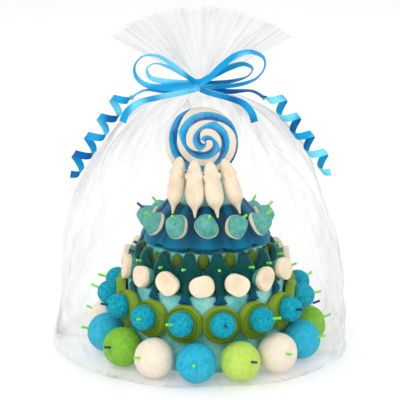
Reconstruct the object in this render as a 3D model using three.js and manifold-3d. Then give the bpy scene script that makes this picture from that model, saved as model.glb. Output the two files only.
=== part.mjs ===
// A candy tower in a tied clear bag: rows of sweets pinned round a tiered core, mice and a
// lollipop on top, a gathered bag over it all and a curled ribbon round the bag's neck.
// Millimetres, +Z up, origin on the floor under the middle of the bag. The front is -Y.
import * as THREE from "three";
import { mergeVertices } from "three/addons/utils/BufferGeometryUtils.js";
import Module from "manifold-3d";

const wasm = await Module();
wasm.setup();

// Driving dimensions
const FILM = 0.8; // wall of the bag
const GAP = 0.4; // clearance between pieces that touch
const SLIVER = 0.06; // smallest edge kept where shapes join
const TOWER_X = 4; // the tower stands a little right of the bag's middle

const TIER_FOOT = { radius: 72, top: 28 };
const TIER_LOW = { foot: 71, radius: 69, top: 68 };
const TIER_MID = { foot: 55, radius: 52.5, top: 100 };
const TIER_TOP = { foot: 44, radius: 24, top: 136 };
const CROWN = { foot: 22, radius: 15, top: 150 };

const ROW_COUNT = 15; // sweets in each of the three lower rows
const STEP = 360 / ROW_COUNT; // degrees
const BALL = { radius: 17.3, ring: 90, phase: -29.5 };
const WHEEL = { radius: 16.1, thick: 8.4, height: 45.8, phase: -14.7 };
const RASPBERRY = { radius: 11, out: 6, lift: 3.5 };
const DOLPHIN = { phase: -14.7, flipperHalf: 11.2, headTop: 104 };
const DROP = { radius: 10.4, tall: 1.1, slim: 0.93, length: 16, foam: 5.5 };
const DROP_LOW = { height: 79, ring: 74.8, turn: 0.47, lean: 8 };
const COLLAR = { count: 11, brim: 56, brimHeight: 106.2, lip: 51, proud: 0.011 };
const DROOP = 7.4; // how much lower the snouts and the brim hang at the two sides
const DROP_HIGH = { ring: 42.5, height: 121.5, rise: 32, flank: 8, slip: 0.35 };
const PICK = { radius: 1.15, out: 6.2, sides: 4, rise: 17 };

const MOUSE = { length: 50, half: 7.7, deep: 6.8, footRing: 39, footHeight: 128.5 };
const HEAD_RING = { front: 25, back: 18 };
const FRONT_MICE = [-48, -14.5, 14.5, 48]; // degrees
const BACK_MICE = [147, 180, 213];
const LOLLIPOP = { radius: 31.5, thick: 11, height: 185, x: -4, stick: 2.2, stickDeep: 16 };

const NECK = { height: 240, radius: 5 };
const FAN = { spread: 63, middle: 63, side: 86, deep: 11, pleats: 8, pleatDeep: 3 };
const BAG_POINTS = 32; // corners round the bag
const RIBBON = { width: 6.2, thick: 0.9, x: -3, y: -12.5, tilt: 44 };
const CURL = { radius: 6.8, turns: 3.5, steps: 40 };

const FINISH = {
  film: [0xf4f7f8, 0.15],
  ribbon: [0x1f9be6, 0.35],
  core: [0x8fd6d8, 0.8],
  white: [0xf3e3d2, 0.8],
  blue: [0x2fb0d8, 0.8],
  green: [0x8cc63f, 0.8],
  wheel: [0x5f8f1e, 0.4],
  dolphin: [0x0a5a5c, 0.35],
  collar: [0x0a5c8c, 0.35],
  mouse: [0xf2e2c6, 0.7],
  lollipop: [0x1791d6, 0.25],
};

const radians = THREE.MathUtils.degToRad;
const vector = (x, y, z) => new THREE.Vector3(x, y, z);

// A closed geometry as a manifold-3d solid.
function solidOf(geometry) {
  const bare = geometry.clone();
  bare.deleteAttribute("normal");
  bare.deleteAttribute("uv");
  const merged = mergeVertices(bare, 1e-4);
  return new wasm.Manifold(
    new wasm.Mesh({
      numProp: 3,
      vertProperties: new Float32Array(merged.attributes.position.array),
      triVerts: new Uint32Array(merged.index.array),
    }),
  );
}

// A solid as a geometry with smooth normals left to the viewer.
function geometryOf(solid) {
  const mesh = solid.getMesh();
  const geometry = new THREE.BufferGeometry();
  geometry.setAttribute("position", new THREE.BufferAttribute(mesh.vertProperties, 3));
  geometry.setIndex(new THREE.BufferAttribute(mesh.triVerts, 1));
  geometry.computeVertexNormals();
  return geometry;
}

// Several closed geometries fused into one, with the slivers along their joins smoothed away.
function fuse(geometries) {
  const [first, ...rest] = geometries.map(solidOf);
  const joined = rest.reduce((sum, next) => sum.add(next), first);
  return geometryOf(joined.simplify(SLIVER));
}

// One closed skin over rings of equal corner count. Each ring turns anticlockwise as seen
// from the end that the rings run towards, and the two end rings are closed by a middle point.
function loft(rings) {
  const sides = rings[0].length;
  const points = rings.flat();
  const index = [];
  for (let ring = 0; ring + 1 < rings.length; ring++) {
    for (let side = 0; side < sides; side++) {
      const a = ring * sides + side;
      const b = ring * sides + ((side + 1) % sides);
      index.push(a, b, b + sides, a, b + sides, a + sides);
    }
  }
  const middle = (ring) => ring.reduce((sum, p) => sum.add(p), vector(0, 0, 0)).divideScalar(sides);
  const last = (rings.length - 1) * sides;
  points.push(middle(rings[0]), middle(rings[rings.length - 1]));
  for (let side = 0; side < sides; side++) {
    const next = (side + 1) % sides;
    index.push(points.length - 2, next, side, points.length - 1, last + side, last + next);
  }
  return new THREE.BufferGeometry().setFromPoints(points).setIndex(index);
}

// A profile of [radius, height] pairs turned round the Y axis, from low to high.
function turned(profile, segments) {
  return new THREE.LatheGeometry(profile.map(([r, h]) => new THREE.Vector2(r, h)), segments);
}

function finish([color, roughness]) {
  return new THREE.MeshStandardMaterial({ color, roughness, metalness: 0 });
}

function piece(name, geometry, look) {
  const mesh = new THREE.Mesh(geometry, finish(look));
  mesh.name = name;
  return mesh;
}

const numbered = (name, index) => `${name}_${String(index + 1).padStart(2, "0")}`;

// How much lower a row hangs at an angle in degrees from the front.
const droop = (angle) => DROOP * Math.sin(radians(angle)) ** 2;

// Puts a piece that faces -Y on a row, turned by an angle in degrees to the right.
function onRow(parent, angle, mesh) {
  const turn = new THREE.Group();
  turn.rotation.z = radians(angle);
  turn.add(mesh);
  parent.add(turn);
}

// The end of a cocktail stick that stands out of a sweet at a point, along -Y, with a lean.
function pickEnd(x, y, z, leanSide, leanUp) {
  const length = 2 * PICK.out;
  const stick = new THREE.CylinderGeometry(PICK.radius, PICK.radius, length, PICK.sides);
  stick.rotateX(radians(-leanUp));
  stick.rotateZ(radians(leanSide));
  return stick.translate(x, y, z);
}

// How far out and up from a ball's middle a stick comes through its skin.
function onSkin(radius) {
  const rise = radians(PICK.rise);
  return [radius * Math.cos(rise), radius * Math.sin(rise)];
}

// Tiers of the core, turned: foot disc, two drums, a cone and a crown that the mice lean on.
function core() {
  const profile = [
    [0, 0],
    [TIER_FOOT.radius, 0],
    [TIER_FOOT.radius, TIER_FOOT.top],
    [TIER_LOW.foot, TIER_FOOT.top],
    [TIER_LOW.radius, TIER_LOW.top],
    [TIER_MID.foot, TIER_LOW.top],
    [TIER_MID.radius, TIER_MID.top],
    [TIER_TOP.foot, TIER_MID.top],
    [TIER_TOP.radius, TIER_TOP.top],
    [CROWN.foot, TIER_TOP.top],
    [CROWN.radius, CROWN.top],
    [0, CROWN.top],
  ];
  const body = turned(profile, 24).rotateX(Math.PI / 2);
  const hole = new THREE.CylinderGeometry(
    LOLLIPOP.stick + GAP,
    LOLLIPOP.stick + GAP,
    2 * (LOLLIPOP.stickDeep + GAP),
    10,
  );
  hole.rotateX(Math.PI / 2).translate(LOLLIPOP.x, 0, CROWN.top);
  return geometryOf(solidOf(body).subtract(solidOf(hole)));
}

// A sugared ball on the floor against the foot disc, with its stick.
function ball(index) {
  const round = new THREE.SphereGeometry(BALL.radius, 8, 6);
  round.rotateX(Math.PI / 2).translate(0, -BALL.ring, BALL.radius);
  const side = ((index % 3) - 1) * 14;
  const [out, up] = onSkin(BALL.radius);
  const stick = pickEnd(side / 3, -BALL.ring - out, BALL.radius + up, side, PICK.rise);
  return fuse([round, stick]);
}

// A coiled jelly wheel flat on the low tier's wall, with a sugared raspberry at its middle.
function wheel(index) {
  const { radius, thick } = WHEEL;
  const wall = TIER_LOW.foot + GAP;
  const coil = turned(
    [
      [0, -thick],
      [radius * 0.62, -thick],
      [radius * 0.7, -thick + 1.2],
      [radius * 0.85, -thick],
      [radius, -thick * 0.6],
      [radius * 0.9, 0],
      [0, 0],
    ],
    9,
  );
  const front = -thick - RASPBERRY.out;
  const berry = new THREE.SphereGeometry(RASPBERRY.radius, 7, 5).translate(0, front, RASPBERRY.lift);
  const side = ((index % 3) - 1) * 22;
  const [out, up] = onSkin(RASPBERRY.radius);
  const stick = pickEnd(side / 4, front - out, RASPBERRY.lift + up, side, PICK.rise);
  return fuse([coil, berry, stick]).translate(0, -wall, WHEEL.height);
}

// A foam-backed jelly drop along -Y: foam face at the origin, jelly dome towards +Y.
function drop() {
  const { radius, tall, slim, length, foam } = DROP;
  return turned(
    [
      [0, 0],
      [radius * 0.9, 0],
      [radius, 1.5],
      [radius * 0.95, foam],
      [radius * 0.72, length * 0.62],
      [radius * 0.45, length],
      [0, length],
    ],
    6,
  ).scale(slim, 1, tall);
}

// One cross-section of a jelly animal: flat back on a wall at [ring, height], domed front.
function slice(ring, height, outward, rise, half, thick) {
  const back = vector(0, -ring, height);
  const front = vector(0, -outward, rise).normalize().multiplyScalar(thick);
  const at = (side, depth) => back.clone().addScaledVector(front, depth).add(vector(side * half, 0, 0));
  return [at(1, 0), at(-1, 0), at(-0.9, 0.65), at(-0.4, 1), at(0.4, 1), at(0.9, 0.65)];
}

// A jelly dolphin up the middle tier's wall: fluke over the ledge, flippers out, snout up.
function dolphin(sag) {
  const ledge = TIER_LOW.radius + GAP;
  const top = TIER_LOW.top + GAP;
  const wall = (height) =>
    THREE.MathUtils.mapLinear(height, TIER_LOW.top, TIER_MID.top, TIER_MID.foot, TIER_MID.radius) + GAP;
  const upright = (share, half, thick) => {
    const height = THREE.MathUtils.lerp(top, DOLPHIN.headTop - sag, share);
    return slice(wall(height), height, 1, 0.1, half, thick);
  };
  return loft([
    slice(ledge + 0.6, top - 7, 1, 0, 6.6, 3),
    slice(ledge + 0.6, top - 4.6, 1, 0, 6.2, 4),
    slice(ledge + 0.6, top + 0.4, 1, 0.5, 4.2, 5.5),
    slice(TIER_MID.foot + 6, top + 0.8, 0.5, 0.9, 5, 8),
    upright(0.225, 5.8, 9.5),
    upright(0.45, DOLPHIN.flipperHalf, 7),
    upright(0.576, DOLPHIN.flipperHalf * 0.97, 7.4),
    upright(0.7, 8, 9),
    upright(0.846, 6, 8.6),
    upright(0.958, 4, 6),
    upright(1, 2.2, 3.4),
  ]);
}

// A dolphin with the drop that is pinned in the gap to its right, foam side out.
function dolphinAndDrop(index) {
  const { height, ring, turn, lean } = DROP_LOW;
  const sweet = drop().rotateX(radians(-lean)).translate(0, -ring, height).rotateZ(radians(STEP * turn));
  const side = ((index % 3) - 1) * 12;
  const sag = droop(DOLPHIN.phase + STEP * index);
  const stick = pickEnd(side / 6, -TIER_MID.foot - 7, TIER_LOW.top + 22 - 0.55 * sag, side, 14);
  const arm = new THREE.CylinderGeometry(1.2, 1.2, 14, 4);
  arm.rotateZ(Math.PI / 2).translate(6.5, -TIER_MID.foot - 5, TIER_LOW.top + 13);
  return fuse([dolphin(sag), arm, sweet, stick]);
}

// Lowers what stands out past the collar's lip, most at its tip.
function drooped(tongue, sag) {
  const places = tongue.getAttribute("position");
  for (let i = 0; i < places.count; i++) {
    const out = Math.hypot(places.getX(i), places.getY(i));
    const share = THREE.MathUtils.clamp((out - COLLAR.lip) / (COLLAR.brim - COLLAR.lip), 0, 1);
    places.setZ(i, places.getZ(i) - sag * share);
  }
  return tongue;
}

// The collar of jelly tongues down the top cone, flared over the dolphins' snouts, each with a
// drop, jelly side out.
function collar() {
  const { count, brim, brimHeight, proud } = COLLAR;
  const { ring, height, rise, flank, slip } = DROP_HIGH;
  const foot = TIER_MID.top + GAP;
  const slope = (TIER_TOP.foot - TIER_TOP.radius) / (TIER_TOP.top - TIER_MID.top);
  const wall = (at) => TIER_TOP.foot - slope * (at - TIER_MID.top) + 2 * GAP;
  const level = (at, front, half) => slice(wall(at), at, 1, 0, half, front - wall(at));
  const tongue = loft([
    level(foot, brim - 5.4, 11),
    level(brimHeight - 1.5, brim - 5.8, 14),
    level(brimHeight, brim, 16),
    level(brimHeight + 3.8, brim - 2.8, 14),
    level(brimHeight + 11.8, brim - 9.6, 12),
    level(brimHeight + 21.8, brim - 19, 10),
    level(TIER_TOP.top - GAP, brim - 27, 7.5),
  ]);
  const sweet = drop().rotateX(Math.PI - radians(rise)).translate(0, -ring, height);
  const stick = pickEnd(2, -ring - 9.5, height + 11, 8, 40);
  const sectors = Array.from({ length: count }, (_, i) => {
    const angle = (360 / count) * i;
    const out = 1 + proud * (i % 3); // some tongues stand out a little more
    const sag = droop(angle);
    const behind = Math.cos(radians(angle)) < 0 ? flank * Math.sin(radians(2 * angle)) ** 2 : 0;
    const hang = sag + behind; // the drops behind sit low on the flanks, out of sight from the front
    const pinned = [sweet, stick].map((one) => one.clone().translate(0, -slip * hang, -hang));
    const sector = fuse([drooped(tongue.clone(), sag), ...pinned]);
    return sector.scale(out, out, 1).rotateZ(radians(angle));
  });
  return fuse(sectors);
}

// A mouse lying along +Z from its tail tip, with its back towards -Y: tail, body, ears, snout.
function mouse() {
  const { length, half, deep } = MOUSE;
  const shape = [
    [0, 0.13, 0.18],
    [0.13, 0.3, 0.36],
    [0.26, 0.86, 0.88],
    [0.43, 1, 1],
    [0.65, 0.8, 0.9],
    [0.72, 0.9, 0.86],
    [0.86, 0.7, 0.74],
    [0.95, 0.48, 0.52],
    [1, 0.2, 0.25],
  ];
  const corners = 6;
  return loft(
    shape.map(([along, wide, thick]) =>
      Array.from({ length: corners }, (_, i) => {
        const angle = (2 * Math.PI * i) / corners;
        return vector(half * wide * Math.cos(angle), deep * thick * Math.sin(angle), length * along);
      }),
    ),
  );
}

// Stands a mouse at an angle round the crown, its head leaning in but clear of the lollipop.
function standMouse(parent, name, angle) {
  const turn = radians(angle);
  const clear = LOLLIPOP.thick / 2 + MOUSE.deep * 0.9;
  const headRing = Math.cos(turn) > 0 ? HEAD_RING.front : HEAD_RING.back;
  const depth = Math.max(Math.abs(headRing * Math.cos(turn)), clear);
  const foot = vector(
    MOUSE.footRing * Math.sin(turn),
    -MOUSE.footRing * Math.cos(turn),
    MOUSE.footHeight,
  );
  const headX = LOLLIPOP.x + headRing * Math.sin(turn);
  const head = vector(headX, -Math.sign(Math.cos(turn)) * depth, 0);
  const reach = Math.hypot(head.x - foot.x, head.y - foot.y);
  head.z = MOUSE.footHeight + Math.sqrt(MOUSE.length ** 2 - reach ** 2);
  const along = head.sub(foot).normalize();
  const outward = vector(Math.sin(turn), -Math.cos(turn), 0);
  const across = along.clone().cross(outward).normalize();
  const inward = along.clone().cross(across).normalize();
  const mesh = piece(name, mouse(), FINISH.mouse);
  mesh.quaternion.setFromRotationMatrix(new THREE.Matrix4().makeBasis(across, inward, along));
  mesh.position.copy(foot);
  parent.add(mesh);
}

// A domed round lollipop that faces the front, on a stick that stands in the crown.
function lollipop() {
  const { radius, thick, height, stick, stickDeep } = LOLLIPOP;
  const disc = turned(
    [
      [0, -thick / 2],
      [radius * 0.75, -thick * 0.46],
      [radius * 0.95, -thick * 0.25],
      [radius, 0],
      [radius * 0.95, thick * 0.25],
      [radius * 0.75, thick * 0.46],
      [0, thick / 2],
    ],
    24,
  );
  const low = CROWN.top - stickDeep;
  const high = height - radius * 0.6;
  const rod = new THREE.CylinderGeometry(stick, stick, high - low, 8);
  rod.rotateX(Math.PI / 2).translate(0, 0, (high + low) / 2 - height);
  return fuse([disc, rod]).translate(LOLLIPOP.x, 0, height);
}

// The bag's cross-section from the floor to the neck: [height, half width, half depth].
const BAG_SECTIONS = [
  [0, 122, 97],
  [7, 128.5, 109],
  [20, 129.3, 117],
  [60, 124.5, 114],
  [109, 116.6, 102],
  [145, 106, 88],
  [179, 90, 70],
  [204, 70, 51],
  [222, 46, 28],
  [233, 20, 8.5],
];

// A ring of the bag's body: an oval with squarish shoulders, standing in soft folds.
function bagRing(height, halfWidth, halfDepth, inset) {
  const square = 0.86;
  const folds = 8;
  const wave = 1.6 * Math.sin((Math.PI * height) / NECK.height);
  return Array.from({ length: BAG_POINTS }, (_, i) => {
    const angle = (2 * Math.PI * i) / BAG_POINTS;
    const bend = (value) => Math.sign(value) * Math.abs(value) ** square;
    const fold = wave * Math.sin(folds * angle + height / 40) - inset;
    return vector(
      (halfWidth + fold) * bend(Math.cos(angle)),
      (halfDepth + fold) * bend(Math.sin(angle)),
      height,
    );
  });
}

// A ring of the gathered mouth: a flat pleated tube that opens into a fan above the neck.
function fanRing(share, inset) {
  const { spread, middle, side, deep, pleats, pleatDeep } = FAN;
  return Array.from({ length: BAG_POINTS }, (_, i) => {
    const angle = (2 * Math.PI * i) / BAG_POINTS;
    const lean = radians(spread) * Math.cos(angle);
    const length = THREE.MathUtils.lerp(middle, side, Math.cos(angle) ** 2) * share;
    const pleat = pleatDeep * share * Math.cos(2 * pleats * angle);
    const depth = NECK.radius + (deep - NECK.radius) * share + pleat - inset;
    const half = NECK.radius * (1 - share) * Math.cos(angle);
    return vector(
      half + length * Math.sin(lean) - inset * Math.cos(angle),
      depth * Math.sin(angle),
      NECK.height + length * Math.cos(lean),
    );
  });
}

// The bag: an outer skin from the floor to the fan's lip and an inner skin back down.
function bag() {
  const fanShares = [0, 0.3, 0.65, 1];
  const body = (inset, lift) =>
    BAG_SECTIONS.map(([height, wide, deep]) => bagRing(Math.max(height, lift), wide, deep, inset));
  const outer = [...body(0, 0), ...fanShares.map((share) => fanRing(share, 0))];
  const inner = [...body(FILM, FILM), ...fanShares.map((share) => fanRing(share, FILM))];
  return loft([...outer, ...inner.reverse()]);
}

// A flat strip along a curve, with its width along a direction given at each share of its length.
function strip(curve, steps, widthAt) {
  const rings = [];
  for (let step = 0; step <= steps; step++) {
    const share = step / steps;
    const along = curve.getTangentAt(share);
    const wide = widthAt(share, along);
    wide.addScaledVector(along, -wide.dot(along)).normalize();
    const thin = along.clone().cross(wide).multiplyScalar(RIBBON.thick / 2);
    wide.multiplyScalar(RIBBON.width / 2);
    const at = (w, t) => curve.getPointAt(share).addScaledVector(wide, w).addScaledVector(thin, t);
    rings.push([at(-1, -1), at(1, -1), at(1, 1), at(-1, 1)]);
  }
  return loft(rings);
}

// A smooth curve through [x, y, z] places relative to the knot.
function route(places) {
  return new THREE.CatmullRomCurve3(places.map(([x, y, z]) => vector(x, y, z)), false, "centripetal");
}

// A curled tail: a stretch from the knot, then a helix down a sloping line.
function curl(side, reach, fall) {
  const start = vector(side * 62, -6, -6);
  const end = vector(side * reach, -16, -fall);
  const line = end.clone().sub(start);
  const along = line.clone().normalize();
  const out = vector(0, -1, 0);
  const across = along.clone().cross(out).normalize();
  const lead = [vector(side, 1, -2), vector(side * 24, -2, -5), vector(side * 46, -5, -4)];
  const coil = Array.from({ length: CURL.steps }, (_, i) => {
    const share = i / (CURL.steps - 1);
    const angle = 2 * Math.PI * CURL.turns * share;
    return start
      .clone()
      .addScaledVector(line, share)
      .addScaledVector(out, CURL.radius * Math.sin(angle))
      .addScaledVector(across, CURL.radius * Math.cos(angle) * side);
  });
  const curve = new THREE.CatmullRomCurve3([...lead, ...coil], false, "centripetal");
  const flat = vector(0, -0.5, 1);
  return strip(curve, 40, (share) => flat.clone().lerp(along, share));
}

// One loop of the bow through [x, z] places, seen flat along its sides and on edge at its tip.
function loop(layer, places) {
  const front = vector(0, -1, 0);
  const depth = (x) => layer - Math.abs(x) / 14;
  const flatOrEdge = (share, along) => {
    const tilt = radians(RIBBON.tilt + (75 - RIBBON.tilt) * Math.sin(Math.PI * share) ** 6);
    return along.clone().cross(front).multiplyScalar(Math.cos(tilt)).addScaledVector(front, Math.sin(tilt));
  };
  return strip(route(places.map(([x, z]) => [x, depth(x), z])), 14, flatOrEdge);
}

// A short tail that falls over the bag's shoulder and ends in a cut.
function cutTail(side, reach) {
  const places = route([
    [side, -2, -3],
    [side * reach * 0.25, -10, -5],
    [side * reach * 0.5, -15, -7],
    [side * reach * 0.8, -21, -11],
    [side * reach * 0.95, -27, -18],
    [side * reach, -30, -25],
  ]);
  const from = vector(0, -0.6, 1);
  const to = vector(side, -0.3, 0);
  return strip(places, 8, (share) => from.clone().lerp(to, share));
}

// The ribbon: a knot on the neck, two loops and a cut tail on each side, two curled tails.
function ribbon() {
  const knot = new THREE.SphereGeometry(5, 10, 7).scale(1.2, 0.9, 1.2);
  const outerLeft = [
    [-1, 2], [-9, 8], [-21, 18], [-34, 26], [-46, 26],
    [-53, 18], [-52, 9], [-44, 2], [-26, -1], [-1, -1],
  ];
  const innerLeft = [
    [-1, 1], [-12, 8], [-25, 15], [-37, 18],
    [-43, 14], [-41, 7], [-30, 3], [-1, 0],
  ];
  const outerRight = [
    [1, 2], [9, 7], [20, 18], [32, 27], [45, 30], [55, 25],
    [56, 17], [50, 8], [40, 3], [24, 0], [1, -1],
  ];
  const innerRight = [
    [1, 1], [13, 8], [27, 15], [39, 18],
    [46, 14], [43, 8], [30, 3], [1, 0],
  ];
  return fuse([
    knot,
    loop(-4, outerLeft),
    loop(3.7, innerLeft),
    loop(-4, outerRight),
    loop(3.7, innerRight),
    cutTail(-1, 63),
    cutTail(1, 47),
    curl(-1, 108, 72),
    curl(1, 112, 70),
  ]).translate(RIBBON.x, RIBBON.y, NECK.height);
}

const tower = new THREE.Group();
tower.position.set(TOWER_X, 0, FILM + GAP);
tower.add(piece("tower_core", core(), FINISH.core));
tower.add(piece("tongue_collar", collar(), FINISH.collar));
tower.add(piece("lollipop", lollipop(), FINISH.lollipop));
const ballLooks = [FINISH.white, FINISH.blue, FINISH.green];
for (let i = 0; i < ROW_COUNT; i++) {
  const look = ballLooks[i % ballLooks.length];
  onRow(tower, BALL.phase + STEP * i, piece(numbered("ball", i), ball(i), look));
  onRow(tower, WHEEL.phase + STEP * i, piece(numbered("wheel", i), wheel(i), FINISH.wheel));
  const dolphinNode = piece(numbered("dolphin", i), dolphinAndDrop(i), FINISH.dolphin);
  onRow(tower, DOLPHIN.phase + STEP * i, dolphinNode);
}
[...FRONT_MICE, ...BACK_MICE].forEach((angle, i) => standMouse(tower, numbered("mouse", i), angle));

const part = new THREE.Group();
part.add(tower);
part.add(piece("bag", bag(), FINISH.film));
part.add(piece("ribbon", ribbon(), FINISH.ribbon));

export default part;
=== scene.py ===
"""Looks of a candy tower in a tied clear bag: sweets, core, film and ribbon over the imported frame."""

import logging
import math
import random
from contextlib import contextmanager
from dataclasses import dataclass
from enum import Enum
from itertools import pairwise
from typing import Callable, Iterator, Sequence

import bpy
import numpy as np
from mathutils import Matrix, Vector


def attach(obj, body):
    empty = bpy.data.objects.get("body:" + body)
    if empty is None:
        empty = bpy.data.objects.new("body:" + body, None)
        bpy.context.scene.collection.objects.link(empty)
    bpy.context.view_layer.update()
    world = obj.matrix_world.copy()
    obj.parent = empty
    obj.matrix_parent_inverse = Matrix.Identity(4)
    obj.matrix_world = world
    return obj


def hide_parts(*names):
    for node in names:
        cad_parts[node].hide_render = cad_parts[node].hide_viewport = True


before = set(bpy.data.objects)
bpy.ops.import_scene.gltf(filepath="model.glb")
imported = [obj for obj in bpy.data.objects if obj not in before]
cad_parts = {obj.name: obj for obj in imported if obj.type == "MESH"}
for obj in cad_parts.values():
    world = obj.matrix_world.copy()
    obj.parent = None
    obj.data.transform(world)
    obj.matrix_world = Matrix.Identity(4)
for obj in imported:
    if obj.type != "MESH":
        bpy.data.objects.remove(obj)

LOG = logging.getLogger("candy_tower")
MM = 0.001
FULL_TURN = 6.28
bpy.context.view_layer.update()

Pair = tuple[float, float]
Point = tuple[float, float, float]
Colour = Section = tuple[float, float, float, float]
Pairs = tuple[Pair, ...]
Points = tuple[Point, ...]
Socket = bpy.types.NodeSocket
Material = bpy.types.Material
Piece = bpy.types.Object
Widths = Callable[[np.ndarray, np.ndarray], np.ndarray]


def srgb(red: int, green: int, blue: int) -> Colour:
    """Turns a screen colour, 0 to 255, into the linear colour that a shader takes."""

    def linear(value: int) -> float:
        """One channel in linear light."""
        share = value / 255
        return share / 12.92 if share <= 0.04045 else ((share + 0.055) / 1.055) ** 2.4

    return (linear(red), linear(green), linear(blue), 1.0)


BLACK = srgb(0, 0, 0)


# Shader graph


def operation(kind: str, swapped: bool = False) -> Callable[["Value", "Value | float"], "Value"]:
    """Makes a method that adds a Math node over a value and another term, in that order or swapped."""

    def method(self: "Value", other: "Value | float") -> "Value":
        """Adds the node."""
        return self.graph.math(kind, *((other, self) if swapped else (self, other)))

    return method


class Value:
    """A number socket of a material that takes part in Python arithmetic."""

    __add__ = __radd__ = operation("ADD")
    __mul__ = __rmul__ = operation("MULTIPLY")
    __sub__ = operation("SUBTRACT")
    __rsub__ = operation("SUBTRACT", swapped=True)
    __pow__ = operation("POWER")

    def __init__(self, graph: "Graph", socket: Socket) -> None:
        """Wraps one socket of a graph."""
        self.graph = graph
        self.socket = socket

    def sine(self) -> "Value":
        """Sine, in radians."""
        return self.graph.math("SINE", self)

    def smooth(self, low: float, high: float) -> "Value":
        """Runs smoothly from 0 at low to 1 at high."""
        node = self.graph.node(
            "ShaderNodeMapRange",
            {"interpolation_type": "SMOOTHSTEP"},
            {"Value": self, "From Min": low, "From Max": high},
        )
        return Value(self.graph, node.outputs[0])


class Graph:
    """The nodes of one material, ending in a Principled shader."""

    def __init__(self, name: str) -> None:
        """Starts a new material."""
        self.material = bpy.data.materials.new(name)
        self.material.use_nodes = True
        self.tree = self.material.node_tree
        self.shader = self.tree.nodes["Principled BSDF"]

    def node(
        self,
        kind: str,
        settings: dict[str, object] | None = None,
        inputs: dict[str | int, object] | None = None,
    ) -> bpy.types.Node:
        """Adds a node.

        Args:
            kind: The node's type name.
            settings: Properties that are set first.
            inputs: Numbers, colours, values or sockets for its inputs.

        Returns:
            The new node.
        """
        node = self.tree.nodes.new(kind)
        for key, setting in (settings or {}).items():
            setattr(node, key, setting)
        for key, value in (inputs or {}).items():
            self.feed(node.inputs[key], value)
        return node

    def feed(self, socket: Socket, value: object) -> None:
        """Links a value or socket to an input, or sets a plain number or colour on it."""
        source = value.socket if isinstance(value, Value) else value
        if isinstance(source, Socket):
            self.tree.links.new(source, socket)
        else:
            socket.default_value = source

    def math(self, kind: str, *terms: Value | float) -> Value:
        """Adds a Math node over its terms, in order."""
        node = self.node("ShaderNodeMath", {"operation": kind}, dict(enumerate(terms)))
        return Value(self, node.outputs[0])

    def place(self) -> Socket:
        """The place on the piece, in metres."""
        return self.node("ShaderNodeTexCoord").outputs["Object"]

    def sheet(self) -> Socket:
        """The place on the piece's own sheet map."""
        return self.node("ShaderNodeTexCoord").outputs["UV"]

    def attribute(self, name: str) -> Value:
        """A number that the piece's mesh holds at each place."""
        return Value(self, self.node("ShaderNodeAttribute", {"attribute_name": name}).outputs["Fac"])

    def axes(self, vector: Socket) -> tuple[Value, Value, Value]:
        """Splits a vector into its three numbers."""
        node = self.node("ShaderNodeSeparateXYZ", None, {0: vector})
        return tuple(Value(self, output) for output in node.outputs)

    def stretched(self, vector: Socket, scale: Pair) -> Socket:
        """A sheet's place with its two numbers scaled."""
        inputs = {0: vector, 1: (*scale, 0.0)}
        return self.node("ShaderNodeVectorMath", {"operation": "MULTIPLY"}, inputs).outputs[0]

    def noise(self, scale: float, detail: float, vector: Socket | None = None) -> Value:
        """Soft noise from 0 to 1, so many lumps a metre, read at a vector or else at the piece's place."""
        inputs = {"Vector": vector or self.place(), "Scale": scale, "Detail": detail}
        return Value(self, self.node("ShaderNodeTexNoise", None, inputs).outputs[0])

    def turned(self) -> Value:
        """How far a face turns away from the view, from 0 to 1."""
        weight = self.node("ShaderNodeLayerWeight", None, {"Blend": 0.4})
        return Value(self, weight.outputs["Facing"])

    def facets(self, vector: Socket) -> tuple[Value, Value]:
        """Straight-edged cells over a sheet: a random tone for each cell, and the way to its edge."""
        inputs = {"Vector": vector, "Scale": 1.0}
        tones = self.node("ShaderNodeTexVoronoi", {"voronoi_dimensions": "2D"}, inputs)
        edges = {"voronoi_dimensions": "2D", "feature": "DISTANCE_TO_EDGE"}
        way = self.node("ShaderNodeTexVoronoi", edges, inputs)
        return self.axes(tones.outputs["Color"])[0], Value(self, way.outputs["Distance"])

    def mix(self, share: Value | float, first: object, second: object) -> Socket:
        """Mixes two colours by a share from 0, the first, to 1, the second."""
        node = self.node("ShaderNodeMix", {"data_type": "RGBA"}, {0: share, 6: first, 7: second})
        return node.outputs[2]

    def bump(self, height: Value, strength: float, distance: float) -> Socket:
        """Turns a height into a normal."""
        inputs = {"Height": height, "Strength": strength, "Distance": distance}
        return self.node("ShaderNodeBump", None, inputs).outputs[0]

    def dress(self, **inputs: object) -> Material:
        """Feeds the shader's inputs, named with underscores for spaces, and hands the material over."""
        for key, value in inputs.items():
            self.feed(self.shader.inputs[key.replace("_", " ")], value)
        return self.material


# Finishes


@dataclass(frozen=True)
class Grained:
    """A matte skin between two colours, broad blotches under fine grains: by default, sugar.

    The blotches and the grains each have a scale and a detail. Their shares of the colour and of the
    bumps, the roughness with what the grains add, and the bumps' strength and height are pairs too.
    """

    name: str
    dark: Colour
    light: Colour
    blotch: Pair = (260.0, 3.0)
    grain: Pair = (1500.0, 2.0)
    mottle: Pair = (0.35, 0.65)
    span: Pair = (0.3, 0.66)
    rough: Pair = (0.9, -0.25)
    bumps: Pair = (0.4, 1.0)
    relief: Pair = (0.55, 0.5 * MM)
    shine: float = 0.12
    soft: float = 0.0

    def material(self) -> Material:
        """Builds the material."""
        graph = Graph(self.name)
        blotch, grain = graph.noise(*self.blotch), graph.noise(*self.grain)
        mottle = (blotch * self.mottle[0] + grain * self.mottle[1]).smooth(*self.span)
        return graph.dress(
            Base_Color=graph.mix(mottle, self.dark, self.light),
            Roughness=self.rough[0] + grain * self.rough[1],
            Normal=graph.bump(blotch * self.bumps[0] + grain * self.bumps[1], *self.relief),
            Subsurface_Weight=self.soft,
            Subsurface_Scale=2 * MM,
            Specular_IOR_Level=self.shine,
        )


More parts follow.
